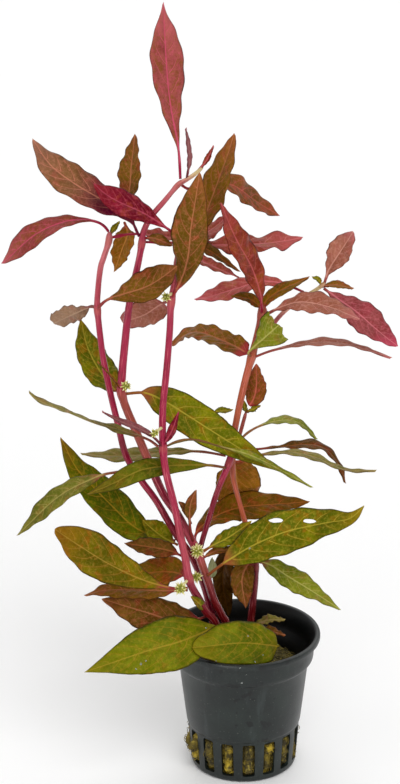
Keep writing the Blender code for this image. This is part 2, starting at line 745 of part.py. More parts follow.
def fix_as_one_body(made: bpy.types.Object) -> None:
    """Applies an object's Booleans and keeps the largest body of the result."""
    bpy.context.view_layer.update()
    evaluated = made.evaluated_get(bpy.context.evaluated_depsgraph_get())
    mesh_data = bmesh.new()
    mesh_data.from_mesh(evaluated.to_mesh())
    bmesh.ops.remove_doubles(mesh_data, verts=mesh_data.verts, dist=WELD)
    bmesh.ops.dissolve_degenerate(mesh_data, dist=WELD, edges=mesh_data.edges)
    bmesh.ops.triangulate(mesh_data, faces=mesh_data.faces)
    by_corners = {}
    for face in mesh_data.faces:
        by_corners.setdefault(frozenset(face.verts), []).append(face)
    paired = [face for faces in by_corners.values() if len(faces) > 1 for face in faces]
    bmesh.ops.delete(mesh_data, geom=paired, context="FACES")
    bmesh.ops.holes_fill(mesh_data, edges=mesh_data.edges, sides=8)
    bmesh.ops.triangulate(mesh_data, faces=mesh_data.faces)
    bmesh.ops.recalc_face_normals(mesh_data, faces=mesh_data.faces)
    waiting = set(mesh_data.verts)
    bodies = []
    while waiting:
        body = set()
        edge_of_body = [next(vertex for vertex in mesh_data.verts if vertex in waiting)]
        while edge_of_body:
            vertex = edge_of_body.pop()
            if vertex in waiting:
                waiting.discard(vertex)
                body.add(vertex)
                edge_of_body += [edge.other_vert(vertex) for edge in vertex.link_edges]
        bodies.append(body)
    kept = max(bodies, key=len)
    spare = [vertex for vertex in mesh_data.verts if vertex not in kept]
    bmesh.ops.delete(mesh_data, geom=spare, context="VERTS")
    mesh_data.to_mesh(made.data)
    mesh_data.free()
    for modifier in list(made.modifiers):
        bpy.data.objects.remove(modifier.object, do_unlink=True)
        made.modifiers.remove(modifier)


def ring(mesh_data: bmesh.types.BMesh, points: list[Vector]) -> list[bmesh.types.BMVert]:
    return [mesh_data.verts.new(point) for point in points]


def bridge(mesh_data: bmesh.types.BMesh, lower: list, upper: list) -> None:
    """Faces between two rings of equal count, or from a ring to one point."""
    count = len(lower)
    for index in range(count):
        after = (index + 1) % count
        if len(upper) == 1:
            mesh_data.faces.new((lower[index], lower[after], upper[0]))
        else:
            mesh_data.faces.new((lower[index], lower[after], upper[after], upper[index]))


def add_tube(mesh_data: bmesh.types.BMesh, route: list[Vector], radii: list[float]) -> None:
    """Closed tube of STEM_SIDES sides along a route."""
    tangents = tangents_of(route)
    side = tangents[0].orthogonal().normalized()
    rings = []
    for point, tangent, radius in zip(route, tangents, radii):
        side = (side - tangent * side.dot(tangent)).normalized()
        other = tangent.cross(side)
        rings.append(ring(mesh_data, [
            point + (side * math.cos(angle) + other * math.sin(angle)) * radius
            for angle in (2 * math.pi * number / STEM_SIDES for number in range(STEM_SIDES))
        ]))
    for lower, upper in zip(rings, rings[1:]):
        bridge(mesh_data, lower, upper)
    mesh_data.faces.new(rings[0])
    mesh_data.faces.new(rings[-1])


def stem_radii(stem: Stem, route: list[Vector]) -> list[float]:
    """Radius along a stem: tapering upwards and swollen at its nodes."""
    nodes = [place(node) for node in stem.nodes]
    radii = []
    for index, point in enumerate(route):
        share = index / (len(route) - 1)
        radius = stem.foot_radius + (stem.tip_radius - stem.foot_radius) * share ** stem.taper
        nearest = min(((point - node).length for node in nodes), default=NODE_REACH)
        radii.append(radius * (1 + NODE_SWELL * max(0.0, 1 - nearest / NODE_REACH)))
    return radii


def leaf_half_width(leaf: Leaf, share: float) -> float:
    """Half width of a leaf at a share of its length, petiole first."""
    along = (share - leaf.petiole) / (1 - leaf.petiole)
    if along <= 0:
        return PETIOLE_RADIUS
    power = math.log(0.5) / math.log(leaf.widest)
    swell = math.sin(math.pi * along ** power) ** leaf.fullness if along < 1 else 0.0
    stalk = PETIOLE_RADIUS * (1 - along)
    return max(leaf.width / 2 * swell, stalk)


def leaf_frame(leaf: Leaf, route: list[Vector]) -> list[tuple[Vector, Vector]]:
    """Across and outward unit directions of the blade at each point of its midrib."""
    tangents = tangents_of(route)
    chord = (route[-1] - route[0]).normalized()
    upward = chord.cross(TO_VIEWER)
    flip = -1.0 if upward.z + SIDEWAYS_SHARE * upward.x < 0 else 1.0
    frames = []
    for index, tangent in enumerate(tangents):
        facing = (TO_VIEWER - tangent * TO_VIEWER.dot(tangent)).normalized()
        lifted = tangent.cross(facing).normalized() * flip
        turn = math.radians(leaf.turn + leaf.twist * index / (len(tangents) - 1))
        outward = facing * math.cos(turn) + lifted * math.sin(turn)
        frames.append((tangent.cross(outward).normalized(), outward))
    return frames


def add_leaf(mesh_data: bmesh.types.BMesh, leaf: Leaf) -> None:
    """Thin closed leaf: rings of margin, ridge, margin and keel along the midrib."""
    whole = smooth_route([place(spot) for spot in leaf_spots(leaf)], MIDRIB_STEP)
    length = MIDRIB_STEP * (len(whole) - 1)
    first = leaf.start / length
    frames = leaf_frame(leaf, whole)
    shares = [first, max(leaf.petiole, first) + PETIOLE_FLARE]
    blade_start = shares[-1]
    rows = LEAF_ROWS if length > LONG_LEAF else SPRIG_ROWS
    for number in range(1, rows + 1):
        shares.append(blade_start + (leaf.cut - blade_start) * number / rows)
    rings = []
    for share in shares:
        index = min(round(share * (len(whole) - 1)), len(whole) - 1)
        point = whole[index]
        across, outward = frames[index]
        half = leaf_half_width(leaf, share)
        blade = min(1.0, half / (FULL_BLADE * leaf.width))
        rise = math.sin(math.radians(leaf.fold)) * half * blade
        wave = leaf.ripple * math.sin(share * RIPPLE_RATE) * blade
        thick = max(LEAF_THICKNESS, 2 * PETIOLE_RADIUS * (1 - blade)) / 2
        if share == shares[-1] and leaf.cut == 1.0:
            rings.append([mesh_data.verts.new(point)])
        else:
            rings.append(ring(mesh_data, [
                point - across * half + outward * (rise + wave),
                point + outward * thick,
                point + across * half + outward * (rise - wave),
                point - outward * thick,
            ]))
    for lower, upper in zip(rings, rings[1:]):
        bridge(mesh_data, lower, upper)
    mesh_data.faces.new(rings[0])
    if leaf.cut < 1.0:
        mesh_data.faces.new(rings[-1])


def stem_route(stem: Stem) -> list[Vector]:
    """Smooth route of a stem, carried down into the wool where it is rooted."""
    points = [place(spot) for spot in stem.route]
    if stem.rooted:
        lean = (points[0] - points[1]).normalized() + Vector((0, 0, -ROOT_LEAN))
        depth = points[0].z - (WOOL_TOP - ROOT_DEPTH)
        points = [points[0] - lean * (depth / lean.z), *points]
    return smooth_route(points, STEM_STEP)


def build_stem(name: str, stem: Stem) -> bpy.types.Object:
    mesh_data = bmesh.new()
    route = stem_route(stem)
    add_tube(mesh_data, route, stem_radii(stem, route))
    made = make_object(name, mesh_data, stem.tone, STEM_ROUGHNESS)
    for number, sprig in enumerate(SPRIGS.get(name, ())):
        sprig_data = bmesh.new()
        add_leaf(sprig_data, sprig)
        combine(made, make_cutter(f"{name}_sprig_{number}", sprig_data, sprig.tone), "UNION")
    fix_as_one_body(made)
    return made


def build_leaf(name: str, leaf: Leaf) -> bpy.types.Object:
    mesh_data = bmesh.new()
    add_leaf(mesh_data, leaf)
    return make_object(name, mesh_data, leaf.tone, LEAF_ROUGHNESS)


def build_flower(name: str, flower: Flower) -> bpy.types.Object:
    """Round head of pointed tepals: every other corner of a ball drawn in."""
    mesh_data = bmesh.new()
    bmesh.ops.create_icosphere(mesh_data, subdivisions=2, radius=flower.radius)
    for vertex in mesh_data.verts:
        if len(vertex.link_edges) == 6:
            vertex.co *= TEPAL_HOLLOW
    bmesh.ops.translate(mesh_data, vec=place(flower.spot), verts=mesh_data.verts)
    return make_object(name, mesh_data, Tone.CREAM, FLOWER_ROUGHNESS)


def pot_outline() -> list[tuple[float, float]]:
    """Half section of the pot as radius and height, up the outside and down the inside."""
    outline = [(0.0, 0.0)]
    for step in range(4):
        angle = math.radians(90 * step / 3)
        outline.append((
            POT_FOOT_RADIUS + POT_FOOT_ROUNDING * math.sin(angle),
            POT_FOOT_ROUNDING * (1 - math.cos(angle)),
        ))
    outline += [
        (POT_WAIST_RADIUS - 0.5, POT_WAIST),
        (POT_WAIST_RADIUS, POT_WAIST + 0.8),
        (POT_BODY_RADIUS, POT_COLLAR_FOOT - 1.2),
        (POT_COLLAR_RADIUS - 0.6, POT_COLLAR_FOOT),
        (POT_COLLAR_RADIUS, POT_HEIGHT - POT_RIM_DEPTH - 0.6),
        (POT_RIM_RADIUS - 0.5, POT_HEIGHT - POT_RIM_DEPTH),
        (POT_RIM_RADIUS, POT_HEIGHT - POT_RIM_DEPTH / 2),
        (POT_LIP_RADIUS, POT_HEIGHT),
        (POT_LIP_RADIUS - 1.2, POT_HEIGHT - 0.5),
        (POT_COLLAR_RADIUS - POT_WALL, POT_HEIGHT - POT_RIM_DEPTH - 0.8),
        (POT_COLLAR_RADIUS - POT_WALL - 0.5, POT_COLLAR_FOOT + 0.6),
        (POT_BODY_RADIUS - POT_WALL, POT_COLLAR_FOOT - 1.0),
        (POT_WAIST_RADIUS - POT_WALL, POT_WAIST + 0.8),
        (POT_FOOT_RADIUS - 0.2, POT_FLOOR),
        (0.0, POT_FLOOR),
    ]
    return outline


def spin_outline(outline: list[tuple[float, float]], sides: int) -> bmesh.types.BMesh:
    """Closed turned solid from a half section that starts and ends on the axis."""
    mesh_data = bmesh.new()
    rows = []
    for radius, height in outline:
        if radius == 0.0:
            rows.append([mesh_data.verts.new((0.0, 0.0, height))])
        else:
            rows.append(ring(mesh_data, [
                Vector((radius * math.sin(angle), -radius * math.cos(angle), height))
                for angle in (2 * math.pi * number / sides for number in range(sides))
            ]))
    for lower, upper in zip(rows, rows[1:]):
        if len(lower) == 1:
            bridge(mesh_data, upper, lower)
        else:
            bridge(mesh_data, lower, upper)
    return mesh_data


def add_slot_cutter(mesh_data: bmesh.types.BMesh, angle: float) -> None:
    """One upright block through the pot's wall."""
    outward = Vector((math.sin(angle), -math.cos(angle), 0.0))
    across = Vector((math.cos(angle), math.sin(angle), 0.0))
    rows = []
    for height in (SLOT_FOOT, SLOT_TOP):
        rows.append(ring(mesh_data, [
            outward * reach + across * side * SLOT_WIDTH / 2 + Vector((0, 0, height))
            for reach, side in (
                (SLOT_CUT_FROM, -1), (SLOT_CUT_TO, -1), (SLOT_CUT_TO, 1), (SLOT_CUT_FROM, 1),
            )
        ]))
    bridge(mesh_data, rows[0], rows[1])
    mesh_data.faces.new(rows[0])
    mesh_data.faces.new(rows[1])


def build_pot() -> bpy.types.Object:
    pot = make_object("net_pot", spin_outline(pot_outline(), POT_SIDES), Tone.POT, POT_ROUGHNESS)
    slots = bmesh.new()
    for number in range(SLOT_COUNT):
        add_slot_cutter(slots, SLOT_TURN + 2 * math.pi * number / SLOT_COUNT)
    combine(pot, make_cutter("pot_slots", slots, Tone.POT), "DIFFERENCE")
    return pot


def build_wool() -> bpy.types.Object:
    """Plug of mineral wool with a lumpy top and a socket round each rooted stem."""
    clearance = POT_WALL + WOOL_CLEARANCE
    outline = [
        (0.0, POT_FLOOR + GAP),
        (POT_FOOT_RADIUS - 1.0, POT_FLOOR + GAP),
        (POT_WAIST_RADIUS - clearance - 0.3, POT_WAIST),
        (POT_BODY_RADIUS - clearance - 0.6, WOOL_TOP - 2.5),
        (POT_BODY_RADIUS - clearance - 3.0, WOOL_TOP),
        (WOOL_CROWN_RADIUS, WOOL_TOP + 0.4),
        (WOOL_MIDDLE_RADIUS, WOOL_TOP),
        (0.0, WOOL_TOP),
    ]
    mesh_data = spin_outline(outline, WOOL_SIDES)
    for vertex in mesh_data.verts:
        if vertex.co.z > WOOL_TOP - 1:
            across = math.sin(vertex.co.x * LUMP_RATE_ACROSS + 1.0)
            lump = across * math.cos(vertex.co.y * LUMP_RATE_ALONG)
            vertex.co.z += WOOL_LUMP * lump
    wool = make_object("mineral_wool", mesh_data, Tone.WOOL, WOOL_ROUGHNESS)
    for name, stem in STEMS.items():
        if stem.rooted:
            route = stem_route(stem)
            socket = bmesh.new()
            start = route[0] - (route[1] - route[0]).normalized() * GAP
            radius = stem.foot_radius * SOCKET_ROOM + GAP
            add_tube(socket, [start, route[1], route[2], route[3]], [radius] * 4)
            combine(wool, make_cutter(f"{name}_socket", socket, Tone.WOOL), "DIFFERENCE")
    return wool


def main() -> None:
    for old in list(bpy.data.objects):
        bpy.data.objects.remove(old, do_unlink=True)
    build_pot()
    build_wool()
    for name, stem in STEMS.items():
        build_stem(name, stem)
    for name, leaf in LEAVES.items():
        build_leaf(name, leaf)
    for name, flower in FLOWERS.items():
        build_flower(name, flower)


main()
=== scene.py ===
"""Looks of an alternanthera reineckii in its net pot: leaves, stems, flower heads, wool and pot.

The plant is described by the same rows as its solids: each spot is a place in
the photograph with a depth behind the pot's axis. Lengths are millimetres until
a mesh is made.
"""

import logging
import math
from collections.abc import Sequence
from dataclasses import dataclass
from enum import Enum
from functools import cache
from typing import NamedTuple

import bmesh
import bpy
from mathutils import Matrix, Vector, noise
from mathutils.bvhtree import BVHTree
from mathutils.kdtree import KDTree

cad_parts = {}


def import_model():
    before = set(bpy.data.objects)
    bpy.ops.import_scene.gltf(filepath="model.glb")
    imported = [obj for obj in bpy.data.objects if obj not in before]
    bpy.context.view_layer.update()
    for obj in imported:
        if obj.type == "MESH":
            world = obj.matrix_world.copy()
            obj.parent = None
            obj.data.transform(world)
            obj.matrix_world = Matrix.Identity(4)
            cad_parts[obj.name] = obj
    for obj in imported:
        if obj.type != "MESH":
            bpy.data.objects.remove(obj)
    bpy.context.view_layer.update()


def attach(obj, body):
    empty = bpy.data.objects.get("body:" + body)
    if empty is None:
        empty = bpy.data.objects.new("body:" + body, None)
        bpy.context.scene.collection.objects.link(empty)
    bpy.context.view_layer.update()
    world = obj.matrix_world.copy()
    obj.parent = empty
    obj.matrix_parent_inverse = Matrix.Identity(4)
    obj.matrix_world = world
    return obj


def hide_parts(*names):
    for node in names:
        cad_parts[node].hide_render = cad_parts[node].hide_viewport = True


LOG = logging.getLogger("plant")

MM = 0.001

# The view in which the plant was measured: a picture of 400 x 784 pixels
PICTURE_WIDTH = 400
PICTURE_HEIGHT = 784
VIEW_DISTANCE = 800.0
VIEW_AIM = Vector((0.0, 0.0, 150.0))
VIEW_PITCH = math.radians(20.0)
VIEW_FOCAL_LENGTH = 2330.0
VIEW_COLUMN = 243.5
VIEW_ROW = 371.0
TO_VIEWER = Vector((0.0, -math.cos(VIEW_PITCH), math.sin(VIEW_PITCH)))
SENSOR_HEIGHT = 36.0

# Depth that the picture doesn't show: the plant sways and its leaves reach out
SWAY_ACROSS = 11.0
SWAY_COLUMN = 185.0
SWAY_WIDTH = 75.0
SWAY_ALONG = 3.5
SWAY_FOOT_ROW = 632.0
SWAY_HEIGHT = 62.0
SWAY_GROWTH = 220.0
LEAF_REACH = 1.5

# Leaves
CURVE_PARTS = 12
MIDRIB_STEP = 0.25
LEAF_ROW_STEP = 0.8
LEAF_COLUMNS = 8
VEIN_SPACING = 3.4
BLADE_THICKNESS = 0.34
PETIOLE_RADIUS = 0.5
LEAF_BASE_OVERLAP = 0.9
LEAF_DAMPNESS = 0.12
LEAF_FACTS = ("along", "reach", "gap", "mood", "foot")
HOLE_SIDES = 20
HOLE_REACH = 9.0
HOLE_EDGE = 0.00002
HOLE_MARGIN = 0.05

# Stems
STEM_SIDES = 20
STEM_RUNG = 0.8
WOOL_TOP = 38.5
ROOT_DEPTH = 9.0
FAR = 99.0

Colour = tuple[float, float, float]
BLACK: Colour = (0.0, 0.0, 0.0)


def tint(red: int, green: int, blue: int) -> Colour:
    """Linear colour of a display colour whose parts go from 0 to 255."""
    shares = (red / 255, green / 255, blue / 255)
    return tuple(share / 12.92 if share < 0.04045 else ((share + 0.055) / 1.055) ** 2.4 for share in shares)


class Spot(NamedTuple):
    """A point of the plant: its pixel in the photograph and its depth, +Y, in mm."""

    column: float
    row: float
    depth: float


class Tone(Enum):
    """Kind of leaf or stem surface; its value is the name of its material slot."""

    GREEN = "green_leaf"
    OLIVE = "olive_leaf"
    BROWN = "brown_leaf"
    RED = "red_leaf"
    PINK = "pink_leaf"
    CRIMSON = "crimson_stem"
    SALMON = "salmon_stem"


@dataclass(frozen=True)
class Leaf:
    """One leaf: midrib route, width of the blade and how its face is turned.

    turn is the angle in degrees from facing the viewer: 90 faces up, above 90
    shows the underside. twist is added from base to tip. cut is where along the
    midrib a torn leaf ends.
    """

    route: tuple[Spot, ...]
    width: float
    turn: float
    tone: Tone
    twist: float = 0.0
    fold: float = 14.0
    petiole: float = 0.12
    widest: float = 0.42
    fullness: float = 0.9
    ripple: float = 0.4
    cut: float = 1.0


@dataclass(frozen=True)
class Stem:
    """One stem: route from the ground or fork upwards, radii and node rows.

    taper is how late the radius changes on the way up: above 1 near the tip.
    """

    route: tuple[Spot, ...]
    foot_radius: float
    tip_radius: float
    tone: Tone
    nodes: tuple[Spot, ...] = ()
    rooted: bool = False
    taper: float = 1.0


class Flower(NamedTuple):
    """One flower head: the middle of its ball and its radius in mm."""

    spot: Spot
    radius: float


def path(*spots: tuple[float, float, float]) -> tuple[Spot, ...]:
    """Spots from plain triples of column, row and depth."""
    return tuple(Spot(*spot) for spot in spots)


STEMS: dict[str, Stem] = {
    "stem_left": Stem(path((214, 628, 1), (205.5, 590, 0), (192, 557, -1.5), (175, 532.5, -2),
        (156.5, 501, -2.6), (141.5, 480.5, -3), (126, 455, -3), (117, 420, -3.2), (112, 400, -3.4),
        (105.5, 370, -3.6), (102, 350, -3.7), (97.5, 310, -4), (98, 290, -4), (100.5, 268, -4),
        (103.5, 258, -4), (108.6, 242, -4), (109.6, 232, -3.9)), 1.4, 0.95, Tone.CRIMSON,
        path((97.5, 310, -4), (109, 240, -4)), True),
    "stem_centre": Stem(path((227, 628, -3.5), (222, 616, -3.8), (214, 600, -4.4), (207.5, 580, -5),
        (201.5, 563, -5.4), (198, 552, -5.6), (192, 541, -5.8), (184, 526, -6), (176, 512, -6.4),
        (164, 495, -6.8), (154.6, 475, -7), (144, 450, -7), (135.5, 430, -7), (127, 410, -7),
        (123.5, 400, -7), (121.6, 390, -7), (122.6, 370, -7), (124.4, 350, -7), (128.6, 310, -7),
        (132.4, 290, -7), (138.6, 262, -7), (142, 243, -7), (143.5, 232, -7), (151, 217, -7),
        (164.5, 201, -7), (178, 185, -7), (186, 180, -7), (195, 174, -7), (203, 167, -7)), 1.5, 0.6,
        Tone.CRIMSON, path((198, 552, -5.6), (122, 392, -7), (142, 243, -7), (178, 185, -7)), True, 4.0),
    "stem_front": Stem(path((218, 629, -8), (206.5, 612, -9), (199.5, 600, -10), (191.5, 586, -11),
        (188, 575, -11.4), (185.7, 560, -11.8), (181.5, 540, -12.2), (177.5, 520, -12.5), (173, 500, -12.8),
        (165.7, 470, -13), (163, 445, -13), (162.8, 410, -13), (166.6, 370, -13), (169.8, 330, -13),
        (171, 305, -13), (174, 285, -12.4), (177, 268, -11.4), (179, 245, -10.5), (178, 232, -10.5)), 1.5,
        1.05, Tone.CRIMSON, path((189, 578, -11.3), (163, 448, -13), (171, 302, -13), (177.5, 264, -11.2)),
        True),
    "stem_right": Stem(path((200.5, 547, -1.4), (203.5, 536, -1.6), (208.5, 520, -2), (214.3, 500, -2.2),
        (221, 482, -2.2), (227, 468, -2.1), (231, 455, -2), (234.6, 430, -1.6), (240.5, 400, -1),
        (246.5, 375, -0.5), (251.5, 357, 0), (257.5, 335, 0), (262, 314, 0), (262, 305, 0)), 0.95, 1.4,
        Tone.SALMON, path((229, 463, -2), (251, 357, 0), (262, 314, 0))),
    "shoot_right": Stem(path((265, 345, 4.2), (270, 330, 4.2), (279, 317, 3), (291, 306, 2), (306, 296, 1),
        (318, 288.5, 0.5), (323, 284.5, 0.2), (325.5, 282, 0)), 0.9, 0.62, Tone.PINK, path((324, 284, 0))),
    "stem_rear": Stem(path((250, 632, 2.5), (251, 618, 3), (253, 600, 3), (255, 580, 3), (255, 562, 3),
        (252, 545, 3), (247, 529, 3), (241, 508, 3), (236, 490, 3), (233, 477, 3), (233, 462, 3),
        (236, 448, 3), (241, 430, 3), (246, 412, 3)), 2.1, 0.65, Tone.SALMON, path((255, 566, 3),
        (233, 472, 3)), True, 0.5),
}

